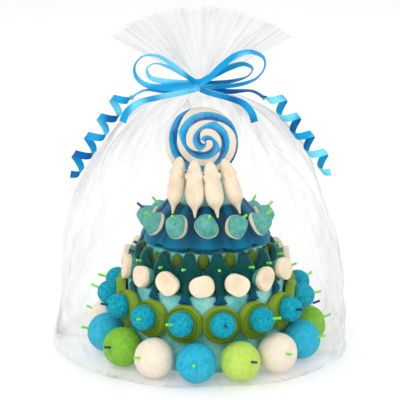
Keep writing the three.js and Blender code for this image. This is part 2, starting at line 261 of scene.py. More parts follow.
@dataclass(frozen=True)
class Jelly:
    """Jelly, one colour low down, another higher up, a third near the wall, painted shade in grooves,
    painted highlights on crests, and a painted glow where a face turns away from the view.
    """

    name: str
    low: Colour
    high: Colour
    # rim: the colour near the wall, and, where groove is set, the painted shade in the grooves.
    rim: Colour
    span: Pair
    wall: Pair = (0.0, 1 * MM)
    axis: float = 4 * MM
    # groove: the share of painted shade in the grooves and painted highlight on their crests.
    groove: float = 0.0
    folds: int = 0
    # ridge: the colour of painted highlights on groove crests and fold crests.
    ridge: Colour = BLACK
    # glow: colour of the painted glow where faces turn away from the view; through: its share.
    glow: Colour = BLACK
    through: float = 0.0

    def material(self) -> Material:
        """Builds the material."""
        graph = Graph(self.name)
        x, y, z = graph.axes(graph.place())
        cloud = graph.noise(120.0, 2.0)
        wander = cloud - 0.5
        rise = (z + wander * (10 * MM)).smooth(*self.span)
        ring = ((x - self.axis) * (x - self.axis) + y * y) ** 0.5
        near = 1 - (ring + wander * (2 * MM)).smooth(*self.wall)
        colour = graph.mix(near * rise, graph.mix(rise, self.low, self.high), self.rim)
        # Painted shade in the grooves, in the rim colour, and painted highlights on the crests between
        # them, in the ridge colour.
        if self.groove:
            around, _, _ = graph.axes(graph.sheet())
            wave = (around * (4 * math.pi) + math.pi / 2).sine()
            crest = wave * wave
            colour = graph.mix((1 - crest.smooth(0.0, 0.5)) * self.groove, colour, self.rim)
            colour = graph.mix(crest.smooth(0.8, 0.98) * self.groove, colour, self.ridge)
        # Painted highlights on the fold crests round the cone, in the ridge colour.
        if self.folds:
            around = graph.math("ARCTAN2", x - self.axis, 0 - y)
            crest = (around * self.folds + math.pi / 2).sine() + wander
            colour = graph.mix(crest.smooth(0.0, 1.0) * 0.45, colour, self.ridge)
        # Painted glow: the colour lightens towards the glow colour where the face turns away from the view.
        if self.through:
            painted_glow_mask = (graph.turned() + wander * 0.4).smooth(0.2, 0.85)
            colour = graph.mix(painted_glow_mask * self.through, colour, self.glow)
        return graph.dress(
            Base_Color=colour,
            Roughness=0.3 + cloud * 0.15,
            Normal=graph.bump(graph.noise(400.0, 2.0), 0.15, 0.3 * MM),
            Specular_IOR_Level=0.1,
        )


@dataclass(frozen=True)
class Swirl:
    """Hard candy in bands, by the mesh's own numbers: blue bands carry painted shade along their inner edge
    and a painted highlight along their outer edge.
    """

    name: str
    first: Colour
    second: Colour
    # deep: painted shade along a band's inner edge; pale: painted highlight along its outer edge.
    deep: Colour
    pale: Colour
    band: str = "band"
    lean: str = "lean"

    def material(self) -> Material:
        """Builds the material."""
        graph = Graph(self.name)
        cloud = graph.noise(110.0, 2.0)
        wander = cloud - 0.5
        stripe = (graph.attribute(self.band) + wander * 0.3).smooth(-0.05, 0.07)
        lean = graph.attribute(self.lean) + wander * 1.6
        # Painted shade: darker blue along the inner edge of each band.
        blue = graph.mix(lean.smooth(0.35, 0.95) * 0.9, self.second, self.deep)
        # Painted highlight: paler blue along the outer edge of each band.
        blue = graph.mix((0 - lean).smooth(0.5, 1.0) * 0.6, blue, self.pale)
        return graph.dress(
            Base_Color=graph.mix(stripe, self.first, blue),
            Roughness=0.22 + cloud * 0.1,
            Normal=graph.bump(graph.noise(300.0, 2.0), 0.08, 0.3 * MM),
            Specular_IOR_Level=0.08,
        )


@dataclass(frozen=True)
class Satin:
    """Curling ribbon: satin face with fine lengthwise ribs."""

    name: str
    tint: Colour
    light: Colour
    ribs: float = 7.0

    def material(self) -> Material:
        """Builds the material."""
        graph = Graph(self.name)
        across, _, _ = graph.axes(graph.sheet())
        rib = (across * (2 * math.pi * self.ribs)).sine()
        wash = graph.noise(30.0, 1.0)
        return graph.dress(
            Base_Color=graph.mix(wash.smooth(0.4, 0.58), self.tint, self.light),
            Roughness=0.3 + wash * 0.12,
            Normal=graph.bump(rib, 0.2, 0.15 * MM),
            Specular_IOR_Level=0.12,
        )


@dataclass(frozen=True)
class Film:
    """Clear cellophane: seen where it turns away, in its facets and creases, in its gathered mouth, and
    more at its lower corners, partly for its folds there and partly as painted shadow.

    Heights are shares of the sheet's length from the middle of the floor to the lip.
    """

    name: str
    tint: Colour
    light: Colour
    clear: float = 0.003
    edge: float = 0.26
    veil: float = 0.3
    crease: float = 0.12
    mouth: float = 0.155
    cells: Pair = (26.0, 7.0)
    splinters: Pair = (70.0, 15.0)
    streaks: Pair = (90.0, 4.0)
    # foot and sides: where the bag's lower corners get more veil, partly for their folds and partly as
    # painted shadow.
    foot: tuple[Pair, Pair] = ((0.05, 0.075), (0.08, 0.2))
    sides: Pair = (0.003, 0.012)
    shoulder: Pair = (0.42, 0.7)
    neck: Pair = (0.736, 0.786)

    def material(self) -> Material:
        """Builds the material."""
        graph = Graph(self.name)
        sheet = graph.sheet()
        _, along, _ = graph.axes(sheet)
        x, _, _ = graph.axes(graph.place())
        broad, rim = graph.facets(graph.stretched(sheet, self.cells))
        fine, _ = graph.facets(graph.stretched(sheet, self.splinters))
        streak = graph.noise(1.0, 4.0, graph.stretched(sheet, self.streaks)).smooth(0.42, 0.62)
        tone = (broad * 0.6 + fine * 0.4) ** 1.6
        line = (1 - rim.smooth(0.0, 0.05)) * fine
        away = graph.turned()
        # More veil at the lower corners: partly the folds there, partly painted shadow at the bag's foot.
        begin, end = self.foot
        low = along.smooth(*begin) * (1 - along.smooth(*end)) * (x * x).smooth(*self.sides)
        gathered = along.smooth(*self.neck)
        high = along.smooth(*self.shoulder) * (0.8 - gathered * 0.45)
        where = away.smooth(0.08, 0.8) * (low * 2.0 + 0.7) + high
        pleats = gathered * (streak * 0.8 + 0.4)
        seen = away**2.4 * self.edge + where * (tone * self.veil + line * self.crease)
        return graph.dress(
            Base_Color=graph.mix(tone, self.light, self.tint),
            Roughness=0.16 + tone * 0.14,
            Normal=graph.bump(streak + broad, 0.2, 0.6 * MM),
            Alpha=seen + pleats * self.mouth + self.clear,
            Specular_IOR_Level=0.7,
        )


@dataclass(frozen=True)
class Ground:
    """The pale floor, lit a little from below as a light table is."""

    name: str
    tint: Colour
    glow: float

    def material(self) -> Material:
        """Builds the material."""
        graph = Graph(self.name)
        return graph.dress(
            Base_Color=self.tint,
            Roughness=0.7 + graph.noise(3.0, 2.0) * 0.1,
            Specular_IOR_Level=0.1,
            Emission_Color=self.tint,
            Emission_Strength=self.glow,
        )


Finish = Grained | Jelly | Swirl | Satin | Film | Ground


def stick(name: str, tint: Colour, light: Colour) -> Grained:
    """Tinted cocktail-stick plastic with faint drag marks."""
    return Grained(
        name,
        tint,
        light,
        grain=(700.0, 2.0),
        mottle=(0.0, 1.0),
        span=(0.3, 0.7),
        rough=(0.32, 0.1),
        bumps=(0.0, 1.0),
        relief=(0.1, 0.1 * MM),
        shine=0.5,
    )


CREAM = Grained(
    "cream_foam",
    srgb(229, 207, 175),
    srgb(241, 223, 196),
    blotch=(90.0, 2.0),
    grain=(900.0, 3.0),
    mottle=(0.7, 0.3),
    span=(0.35, 0.6),
    rough=(0.62, 0.2),
    bumps=(0.0, 1.0),
    relief=(0.25, 0.25 * MM),
    shine=0.25,
    soft=0.15,
)
AQUA = Grained(
    "aqua_paper",
    srgb(70, 180, 178),
    srgb(160, 232, 228),
    blotch=(45.0, 4.0),
    grain=(1200.0, 2.0),
    mottle=(0.8, 0.2),
    span=(0.35, 0.65),
    rough=(0.6, 0.2),
    bumps=(1.0, 0.1),
    relief=(0.4, 1.2 * MM),
    shine=0.5,
)
DROP_JELLY = Grained(
    "drop_jelly",
    srgb(42, 132, 130),
    srgb(116, 190, 172),
    grain=(1700.0, 2.0),
    relief=(0.55, 0.3 * MM),
)
BERRY_SUGAR = Grained(
    "berry_sugar",
    srgb(0, 106, 142),
    srgb(24, 180, 198),
    blotch=(330.0, 3.0),
    grain=(1100.0, 2.0),
    relief=(0.55, 0.8 * MM),
)
# Dolphin jelly, with a painted glow where its faces turn away from the view.
DOLPHIN_JELLY = Jelly(
    "dolphin_jelly",
    low=srgb(0, 76, 128),
    high=srgb(0, 70, 66),
    rim=srgb(104, 102, 12),
    span=(60 * MM, 74 * MM),
    wall=(56 * MM, 58 * MM),
    glow=srgb(48, 146, 146),
    through=0.6,
)
# Tongue jelly: painted highlights on its fold crests, and a painted glow where faces turn away from the
# view.
TONGUE_JELLY = Jelly(
    "tongue_jelly",
    low=srgb(0, 104, 136),
    high=srgb(0, 58, 80),
    rim=srgb(0, 58, 80),
    span=(98 * MM, 122 * MM),
    folds=11,
    ridge=srgb(8, 122, 160),
    glow=srgb(10, 124, 176),
    through=0.4,
)
OLIVE_JELLY = Jelly(
    "olive_jelly",
    low=srgb(78, 88, 8),
    high=srgb(80, 104, 30),
    rim=srgb(88, 92, 12),
    span=(84 * MM, 100 * MM),
)
# Wheel jelly: painted shade in its grooves, painted highlights on its ridges, and a painted glow where
# faces turn away from the view.
WHEEL_JELLY = Jelly(
    "wheel_jelly",
    low=srgb(84, 124, 16),
    high=srgb(106, 148, 30),
    rim=srgb(72, 88, 6),
    span=(28 * MM, 60 * MM),
    wall=(72 * MM, 75 * MM),
    groove=0.55,
    ridge=srgb(150, 168, 60),
    glow=srgb(150, 172, 56),
    through=0.55,
)
# Swirl: white, blue, then the blue's painted shade and painted highlight.
SWIRL = Swirl("swirl", srgb(241, 226, 204), srgb(0, 148, 210), srgb(0, 68, 128), srgb(70, 192, 228))
RIBBON_FACE = Satin("ribbon_face", srgb(4, 154, 212), srgb(118, 216, 244))
# The ribbon's back faces: a darker copy of its satin, painted shade.
RIBBON_BACK_SHADED = Satin("ribbon_back_shaded", srgb(0, 92, 162), srgb(20, 156, 210))
FILM = Film("film", srgb(154, 153, 153), srgb(208, 208, 208))
GROUND = Ground("ground", (0.7, 0.7, 0.7, 1.0), 0.4)
STICK_WHITE = stick("stick_white", srgb(228, 224, 216), srgb(242, 240, 236))


class BallTint(Enum):
    """Sugar colours of the bottom row."""

    WHITE = Grained("white_sugar", srgb(230, 214, 194), srgb(245, 233, 214))
    BLUE = Grained("blue_sugar", srgb(4, 146, 186), srgb(58, 192, 218))
    GREEN = Grained("green_sugar", srgb(98, 164, 38), srgb(142, 200, 70))
    LIME = Grained("lime_sugar", srgb(166, 204, 72), srgb(202, 228, 112))


class PickTint(Enum):
    """Colours of the cocktail sticks."""

    GREEN = stick("stick_green", srgb(96, 208, 48), srgb(150, 236, 92))
    NAVY = stick("stick_navy", srgb(8, 34, 92), srgb(18, 62, 130))


MATERIALS: dict[str, Material] = {}


def material_of(finish: Finish) -> Material:
    """Builds a finish's material the first time and keeps it."""
    if finish.name not in MATERIALS:
        MATERIALS[finish.name] = finish.material()
    return MATERIALS[finish.name]


# Hand work on meshes


def spun(angle: float, axis: str) -> Matrix:
    """A turn about an axis by an angle in degrees."""
    return Matrix.Rotation(math.radians(angle), 4, axis)


def tumbled(draw: random.Random, axis: str) -> Matrix:
    """A random turn about an axis."""
    return Matrix.Rotation(draw.uniform(0, FULL_TURN), 4, axis)


def deselect() -> None:
    """Leaves nothing selected, in object mode."""
    if bpy.context.object and bpy.context.object.mode != "OBJECT":
        bpy.ops.object.mode_set(mode="OBJECT")
    bpy.ops.object.select_all(action="DESELECT")


def pick_up(*pieces: Piece) -> None:
    """Selects pieces alone, the first one active."""
    deselect()
    for piece in pieces:
        piece.select_set(True)
    bpy.context.view_layer.objects.active = pieces[0]


@contextmanager
def editing(piece: Piece) -> Iterator[None]:
    """Edit mode on one piece with all of it selected."""
    pick_up(piece)
    bpy.ops.object.mode_set(mode="EDIT")
    bpy.ops.mesh.select_all(action="SELECT")
    yield
    bpy.ops.object.mode_set(mode="OBJECT")


def added(primitive: Callable[..., set[str]], **settings: object) -> Piece:
    """Adds a piece by one of Blender's mesh primitives, with nothing else selected."""
    deselect()
    primitive(**settings)
    return bpy.context.object


def resized(piece: Piece, size: Point) -> None:
    """Stretches a piece about its middle."""
    with editing(piece):
        bpy.ops.transform.resize(value=size)


def faced_out() -> None:
    """Turns every face of the piece in edit mode outward."""
    bpy.ops.mesh.select_all(action="SELECT")
    bpy.ops.mesh.normals_make_consistent(inside=False)


def bevelled(piece: Piece, sharp: float, width: float, segments: int) -> None:
    """Rounds the edges of a piece that are sharper than an angle in degrees."""
    with editing(piece):
        bpy.ops.mesh.select_mode(type="EDGE")
        bpy.ops.mesh.select_all(action="DESELECT")
        bpy.ops.mesh.edges_select_sharp(sharpness=math.radians(sharp))
        bpy.ops.mesh.bevel(offset=width, segments=segments)


def modified(piece: Piece, kind: str, **settings: object) -> None:
    """Adds a modifier with its settings and applies it."""
    pick_up(piece)
    modifier = piece.modifiers.new(kind.title(), kind)
    for key, setting in settings.items():
        setattr(modifier, key, setting)
    bpy.ops.object.modifier_apply(modifier=modifier.name)


def subdivided(piece: Piece, levels: int) -> None:
    """Rounds a piece off by subdivision."""
    modified(piece, "SUBSURF", levels=levels, render_levels=levels)


def melted(piece: Piece, voxel: float, passes: int) -> None:
    """Runs the parts of a piece into one smooth skin."""
    modified(piece, "REMESH", mode="VOXEL", voxel_size=voxel)
    modified(piece, "SMOOTH", factor=0.5, iterations=passes)


def smoothed(piece: Piece, sharp: float) -> None:
    """Shades a piece smooth, kept crisp past an angle in degrees."""
    pick_up(piece)
    bpy.ops.object.shade_smooth_by_angle(angle=math.radians(sharp))


def shaded(piece: Piece, *finishes: Finish, sharp: float | None = None) -> None:
    """Gives a piece its materials and smooth shading, kept crisp past an angle if one is given."""
    piece.data.materials.clear()
    for finish in finishes:
        piece.data.materials.append(material_of(finish))
    if sharp is not None:
        smoothed(piece, sharp)
        return
    pick_up(piece)
    bpy.ops.object.shade_smooth()


def corners_of(piece: Piece) -> np.ndarray:
    """The places of a piece's vertices."""
    places = np.empty(len(piece.data.vertices) * 3)
    piece.data.vertices.foreach_get("co", places)
    return places.reshape(-1, 3)


def move_corners(piece: Piece, places: np.ndarray) -> None:
    """Puts a piece's vertices at new places."""
    piece.data.vertices.foreach_set("co", places.ravel())
    piece.data.update()


def drawn(name: str, corners: int, stations: Sequence[tuple[Point, float, float]]) -> Piece:
    """Draws a disc out along +Z into a closed bar.

    Args:
        name: The piece's name.
        corners: Corners round the bar.
        stations: For each section its middle, half width in X and half depth in Y.

    Returns:
        The new piece.
    """
    piece = added(bpy.ops.mesh.primitive_circle_add, vertices=corners, radius=1.0, fill_type="NGON")
    piece.name = name
    middle, wide, deep = stations[0]
    with editing(piece):
        bpy.ops.transform.resize(value=(wide, deep, 1.0))
        bpy.ops.transform.translate(value=middle)
        for (before, wide_0, deep_0), (middle, wide, deep) in pairwise(stations):
            step = tuple(np.subtract(middle, before))
            bpy.ops.mesh.extrude_region_move(TRANSFORM_OT_translate={"value": step})
            bpy.ops.transform.resize(value=(wide / wide_0, deep / deep_0, 1.0), center_override=middle)
        faced_out()
    return piece


def turned(name: str, profile: Sequence[Pair], corners: int) -> Piece:
    """Turns a profile of radius and height pairs round the Z axis."""
    return drawn(name, corners, [((0.0, 0.0, height), radius, radius) for radius, height in profile])


def skinned(name: str, places: np.ndarray, tube: bool) -> Piece:
    """Lays a grid over an array of places.

    Args:
        name: The piece's name.
        places: Rows of columns of places.
        tube: Whether the columns close into a tube with its ends filled.

    Returns:
        The new piece, with the grid's own sheet map.
    """
    rows, columns = places.shape[:2]
    piece = added(
        bpy.ops.mesh.primitive_grid_add, x_subdivisions=columns - 1, y_subdivisions=rows - 1, size=1.0
    )
    piece.name = name
    flat = corners_of(piece)
    column = np.rint((flat[:, 0] + 0.5) * (columns - 1)).astype(int)
    row = np.rint((flat[:, 1] + 0.5) * (rows - 1)).astype(int)
    move_corners(piece, places[row, column])
    if tube:
        with editing(piece):
            bpy.ops.mesh.remove_doubles(threshold=0.001 * MM)
            bpy.ops.mesh.fill_holes(sides=0)
            faced_out()
    return piece


def copied(master: Piece, name: str, matrix: Matrix | None = None) -> Piece:
    """Copies a piece with its own mesh and moves the mesh by a matrix, if one is given."""
    piece = master.copy()
    piece.data = master.data.copy()
    piece.name = name
    bpy.context.scene.collection.objects.link(piece)
    piece.data.transform(matrix or Matrix.Identity(4))
    return piece


def joined(name: str, pieces: Sequence[Piece]) -> Piece:
    """Joins pieces into the first of them."""
    pick_up(*pieces)
    bpy.ops.object.join()
    pieces[0].name = name
    pieces[0].data.name = name
    return pieces[0]


def discard(*pieces: Piece) -> None:
    """Removes masters whose copies are placed."""
    for piece in pieces:
        bpy.data.objects.remove(piece)


def hand_in(piece: Piece, slot: str, *nodes: str) -> None:
    """Puts a finished piece in place of its nodes and reports it."""
    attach(piece, "root")
    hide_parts(*nodes)
    LOG.info("%s stands for %s, %d faces", piece.name, ", ".join(nodes), len(piece.data.polygons))


def flow(keys: Sequence[float], values: Sequence[float], at: np.ndarray) -> np.ndarray:
    """A smooth curve through values at rising keys, with no overshoot at its ends.

    Args:
        keys: Where the values are given.
        values: The values.
        at: Where to read the curve.

    Returns:
        The curve's values there.
    """
    keys, values = np.asarray(keys, float), np.asarray(values, float)
    slopes = np.gradient(values, keys)
    cell = np.clip(np.searchsorted(keys, at) - 1, 0, len(keys) - 2)
    width = keys[cell + 1] - keys[cell]
    share = np.clip((at - keys[cell]) / width, 0.0, 1.0)
    square, cube = share**2, share**3
    return (
        (2 * cube - 3 * square + 1) * values[cell]
        + (cube - 2 * square + share) * width * slopes[cell]
        + (3 * square - 2 * cube) * values[cell + 1]
        + (cube - square) * width * slopes[cell + 1]
    )


def curve_through(points: Sequence[Point], steps: int) -> np.ndarray:
    """Places along a smooth curve through points, evenly by length.

    Args:
        points: The points that the curve passes.
        steps: How many places to give.

    Returns:
        The places, one a row.
    """

    def reach(path: np.ndarray, power: float) -> np.ndarray:
        """How far along a path its places lie, with each stretch raised to a power."""
        return np.concatenate([[0.0], np.cumsum(np.linalg.norm(np.diff(path, axis=0), axis=1) ** power)])

    path = np.asarray(points, float)
    keys = reach(path, 0.5)
    fine = np.linspace(0.0, keys[-1], steps * 8)
    dense = np.stack([flow(keys, path[:, axis], fine) for axis in range(3)], axis=1)
    length = reach(dense, 1.0)
    even = np.linspace(0.0, length[-1], steps)
    return np.stack([np.interp(even, length, dense[:, axis]) for axis in range(3)], axis=1)


# The tower's rows


@dataclass(frozen=True)
class Tower:
    """Where the tower stands and how its rows are numbered."""

    axis: Point = (4 * MM, 0.0, 1.2 * MM)
    row_count: int = 15
    step: float = 24.0
    sag: float = 7.4 * MM

    def droop(self, angle: float) -> float:
        """How much lower snouts and brim hang at an angle in degrees from the front."""
        return self.sag * math.sin(math.radians(angle)) ** 2

    def stand(self) -> Matrix:
        """The place of the tower's axis on the bag's floor."""
        return Matrix.Translation(self.axis)

    def turn(self, angle: float) -> Matrix:
        """The place of a sweet at an angle in degrees to the right of the front."""
        return self.stand() @ spun(angle, "Z")


TOWER = Tower()


@dataclass
class Picks:
    """Cocktail sticks whose ends stand out of the sweets."""

    radius: float = 1.15 * MM
    out: float = 6.2 * MM
    rise: float = 17.0
    inset: float = 0.35
    swell: float = 1.05

    def build(self, place: Point, side: float, rise: float, navy: bool) -> Piece:
        """Makes one stick end.

        Args:
            place: Its middle, at the sweet's skin.
            side: Lean to the side in degrees.
            rise: Lean upwards in degrees.
            navy: Whether it is navy and not green.

        Returns:
            The stick.
        """
        piece = added(
            bpy.ops.mesh.primitive_cylinder_add, vertices=12, radius=self.radius, depth=2 * self.out
        )
        with editing(piece):
            bpy.ops.mesh.select_all(action="DESELECT")
            bpy.ops.mesh.select_mode(type="FACE")
            bpy.ops.object.mode_set(mode="OBJECT")
            for face in piece.data.polygons:
                face.select = abs(face.normal.z) > 0.9
            bpy.ops.object.mode_set(mode="EDIT")
            bpy.ops.mesh.inset(thickness=self.inset * self.radius)
            bpy.ops.transform.resize(value=(1.0, 1.0, self.swell))
        lean = spun(side, "Z") @ spun(90 - rise, "X")
        piece.data.transform(Matrix.Translation(place) @ lean)
        shaded(piece, (PickTint.NAVY if navy else PickTint.GREEN).value, sharp=40)
        return piece

    def on_skin(self, radius: float) -> Pair:
        """How far out and up from a ball's middle a stick comes through its skin."""
        return radius * math.cos(math.radians(self.rise)), radius * math.sin(math.radians(self.rise))


PICKS = Picks()


@dataclass
class Core:
    """Stacked rounds wrapped in paper: a foot disc, two drums, a cone and a crown, in millimetres."""

    profile: Pairs = (
        (72, 0), (72, 28), (71, 28.2), (69, 68), (55, 68.2),
        (52.5, 100), (44, 100.2), (24, 136), (22, 136.2), (15, 150),
    )
    edge: float = 1.2 * MM
    sharp: float = 50.0

    def build(self) -> None:
        """Turns the core, rounds its rims and wraps it."""
        piece = turned("core_look", [(radius * MM, height * MM) for radius, height in self.profile], 96)
        bevelled(piece, self.sharp, self.edge, 3)
        piece.data.transform(TOWER.stand())
        shaded(piece, AQUA, sharp=self.sharp)
        hand_in(piece, "core_wrap", "tower_core")


@dataclass
class Row:
    """Sweets of one kind at even steps round the tower, each with a stick that leans one of three ways."""

    kind: str = ""
    slots: tuple[str, ...] = ()
    phase: float = -14.7
    fan: float = 0.0
    seed: int = 0
    navy: tuple[int, ...] = ()
    origin: Point = (0.0, 0.0, 0.0)

    def masters(self) -> tuple[Piece, ...]:
        """Models what is copied round the row."""
        raise NotImplementedError

    def sweet(self, index: int, draw: random.Random, *masters: Piece) -> list[Piece]:
        """Makes one sweet at the row's origin, with its stick last."""
        raise NotImplementedError

    def angle(self, index: int) -> float:
        """Where a sweet stands, in degrees to the right of the front."""
        return self.phase + TOWER.step * index

    def lean(self, index: int) -> float:
        """How a stick leans to the side, in degrees."""
        return (index % 3 - 1) * self.fan

    def build(self) -> None:
        """Sets a sweet at each place."""
        masters = self.masters()
        for index in range(TOWER.row_count):
            node = f"{self.kind}_{index + 1:02d}"
            parts = self.sweet(index, random.Random(self.seed + index), *masters)
            piece = joined(f"{node}_look", parts)
            piece.data.transform(TOWER.turn(self.angle(index)) @ Matrix.Translation(self.origin))
            hand_in(piece, self.slots[index % len(self.slots)], node)
        discard(*masters)


@dataclass
class BallRow(Row):
    """Sugared balls round the foot."""

    kind: str = "ball"
    slots: tuple[str, ...] = ("white_ball", "blue_ball", "green_ball")
    phase: float = -29.5
    fan: float = 14.0
    navy: tuple[int, ...] = (2, 6, 9, 14)
    lime: tuple[int, ...] = (2, 8)
    radius: float = 17.1 * MM
    ring: float = 90 * MM
    lump: float = 0.8 * MM
    lump_wide: float = 14 * MM
    dent_deep: float = 1.1 * MM
    dent_wide: float = 3 * MM

    def masters(self) -> tuple[Piece, ...]:
        """Models one lumpy ball."""
        ball = added(bpy.ops.mesh.primitive_ico_sphere_add, subdivisions=5, radius=self.radius)
        lumps = bpy.data.textures.new("ball_lumps", "CLOUDS")
        lumps.noise_scale = self.lump_wide
        modified(ball, "DISPLACE", texture=lumps, strength=self.lump, mid_level=0.5)
        return (ball,)

    def sweet(self, index: int, draw: random.Random, master: Piece) -> list[Piece]:
        """Turns a copy of the ball, dents it and pins it."""
        put = Matrix.Translation((0, -self.ring, self.radius))
        ball = copied(master, "ball", put @ (tumbled(draw, "Z") @ tumbled(draw, "X")))
        self.dent(ball)
        shaded(ball, self.tint(index).value)
        out, up = PICKS.on_skin(self.radius)
        side = self.lean(index)
        place = (side / 3 * MM, -self.ring - out, self.radius + up)
        return [ball, PICKS.build(place, side, PICKS.rise, index in self.navy)]

    def tint(self, index: int) -> BallTint:
        """White, blue and a green in turn, with a yellower green twice round the row."""
        greens = BallTint.LIME if index in self.lime else BallTint.GREEN
        return (BallTint.WHITE, BallTint.BLUE, greens)[index % 3]

    def dent(self, ball: Piece) -> None:
        """Presses the skin in where the stick goes through."""
        places = corners_of(ball)
        out, up = PICKS.on_skin(self.radius)
        mouth = np.array([0.0, -self.ring - out, self.radius + up])
        away = np.linalg.norm(places - mouth, axis=1)
        places[:, 1] += self.dent_deep * np.exp(-((away / self.dent_wide) ** 2))
        move_corners(ball, places)


@dataclass
class WheelRow(Row):
    """Ribbed jelly coils on the low drum, each with a raspberry."""

    kind: str = "wheel"
    slots: tuple[str, ...] = ("green_jelly",)
    fan: float = 22.0
    seed: int = 100
    navy: tuple[int, ...] = (1, 3, 7, 10, 13)
    origin: Point = (0.0, -71.4 * MM, 45.8 * MM)
    radius: float = 16.2 * MM
    thick: float = 8.4 * MM
    strand: float = 4.3 * MM
    strand_ends: Pair = (0.12, 0.92)
    strand_cover: float = 0.505
    steps_a_turn: int = 44
    rib: float = 0.9 * MM
    berry: float = 10.9 * MM
    berry_out: float = 6 * MM
    lift: float = 3.5 * MM
    drupelets: int = 64
    drupelet: float = 0.34
    drupelet_high: float = 0.7 * MM

    def coil(self) -> Piece:
        """Winds a ribbed strand into a flat round that faces -Y, narrowing at both of its ends."""
        share = np.linspace(-1.0, 1.0, 25)
        ribs = self.rib * np.abs(np.cos(math.pi * share)) ** 0.7 - self.rib * np.abs(share) ** 8
        face = -self.thick + self.rib - ribs
        across = np.concatenate([share, share[::-1][1:-1], share[:1]])
        depth = np.concatenate([face, np.zeros(len(share) - 2), face[:1]])
        start, end = self.strand_ends
        windings = self.radius / self.strand
        steps = int(self.steps_a_turn * (windings + 1))
        winding = np.linspace(start, windings + end, steps)[:, None]
        inner = self.strand * np.maximum(0.0, winding - 1)
        outer = np.minimum(self.radius, self.strand * winding)
        radius = (inner + outer) / 2 + across * (outer - inner) * self.strand_cover
        turn = -2 * math.pi * winding
        rows = np.stack([radius * np.cos(turn), depth + 0 * radius, radius * np.sin(turn)], axis=2)
        return skinned("coil", rows, tube=True)

    def raspberry(self) -> Piece:
        """Models one raspberry sweet: a ball of small rounded seeds."""
        piece = added(bpy.ops.mesh.primitive_ico_sphere_add, subdivisions=5, radius=1.0)
        ways = corners_of(piece)
        index = np.arange(self.drupelets) + 0.5
        high = 1 - 2 * index / self.drupelets
        turn = math.pi * (1 + 5**0.5) * index
        wide = np.sqrt(1 - high**2)
        seeds = np.stack([wide * np.cos(turn), wide * np.sin(turn), high], axis=1)
        near = np.arccos(np.clip(ways @ seeds.T, -1, 1)).min(axis=1)
        swell = np.sqrt(np.clip(1 - (near / self.drupelet) ** 2, 0, 1))
        reach = self.berry - self.drupelet_high + self.drupelet_high * swell
        move_corners(piece, ways * reach[:, None])
        return piece

    def masters(self) -> tuple[Piece, ...]:
        """Models the coil and the raspberry."""
        coil, berry = self.coil(), self.raspberry()
        shaded(coil, WHEEL_JELLY, sharp=50)
        shaded(berry, BERRY_SUGAR)
        return coil, berry

    def sweet(self, index: int, draw: random.Random, coil: Piece, berry: Piece) -> list[Piece]:
        """Spins a coil and a raspberry and pins them."""
        spin = tumbled(draw, "Y")
        front = -self.thick - self.berry_out
        side = self.lean(index)
        out, up = PICKS.on_skin(self.berry)
        place = (side / 4 * MM, front - out, self.lift + up)
        pick = PICKS.build(place, side, PICKS.rise, index in self.navy)
        ball = copied(berry, "berry", Matrix.Translation((0, front, self.lift)) @ spin)
        return [copied(coil, "coil", spin), ball, pick]


@dataclass
class Drop:
    """A sweet of two layers: a foam disc and a jelly dome behind it, as shares of its radius and length."""

    radius: float = 10.4 * MM
    tall: float = 1.1
    slim: float = 0.93
    length: float = 16 * MM
    foam: float = 5.5 * MM
    face: Pairs = ((0.5, 0.02), (0.85, 0.0), (0.95, 0.015), (0.99, 0.06))
    side: Pairs = ((1.0, 0.14), (0.99, 0.28), (0.96, 0.345), (0.95, 0.36))
    dome: Pairs = (
        (0.93, 0.42), (0.84, 0.55), (0.7, 0.72), (0.56, 0.88), (0.46, 0.97), (0.3, 1.0),
    )

    def build(self) -> Piece:
        """Draws the sweet out along +Y from its foam face at the origin."""
        shares = self.face + self.side + self.dome
        piece = turned("drop", [(self.radius * wide, self.length * along) for wide, along in shares], 20)
        subdivided(piece, 1)
        shaded(piece, CREAM, DROP_JELLY)
        for face in piece.data.polygons:
            face.material_index = int(face.center.z > self.foam)
        piece.data.transform(Matrix.Diagonal((self.slim, 1.0, self.tall, 1.0)) @ spun(-90, "X"))
        places = corners_of(piece)
        turn = np.arctan2(places[:, 2], places[:, 0])
        places[:, (0, 2)] *= (1 + 0.025 * np.sin(3 * turn + 0.6) - 0.03 * np.cos(4 * turn))[:, None]
        move_corners(piece, places)
        return piece


DROP = Drop()


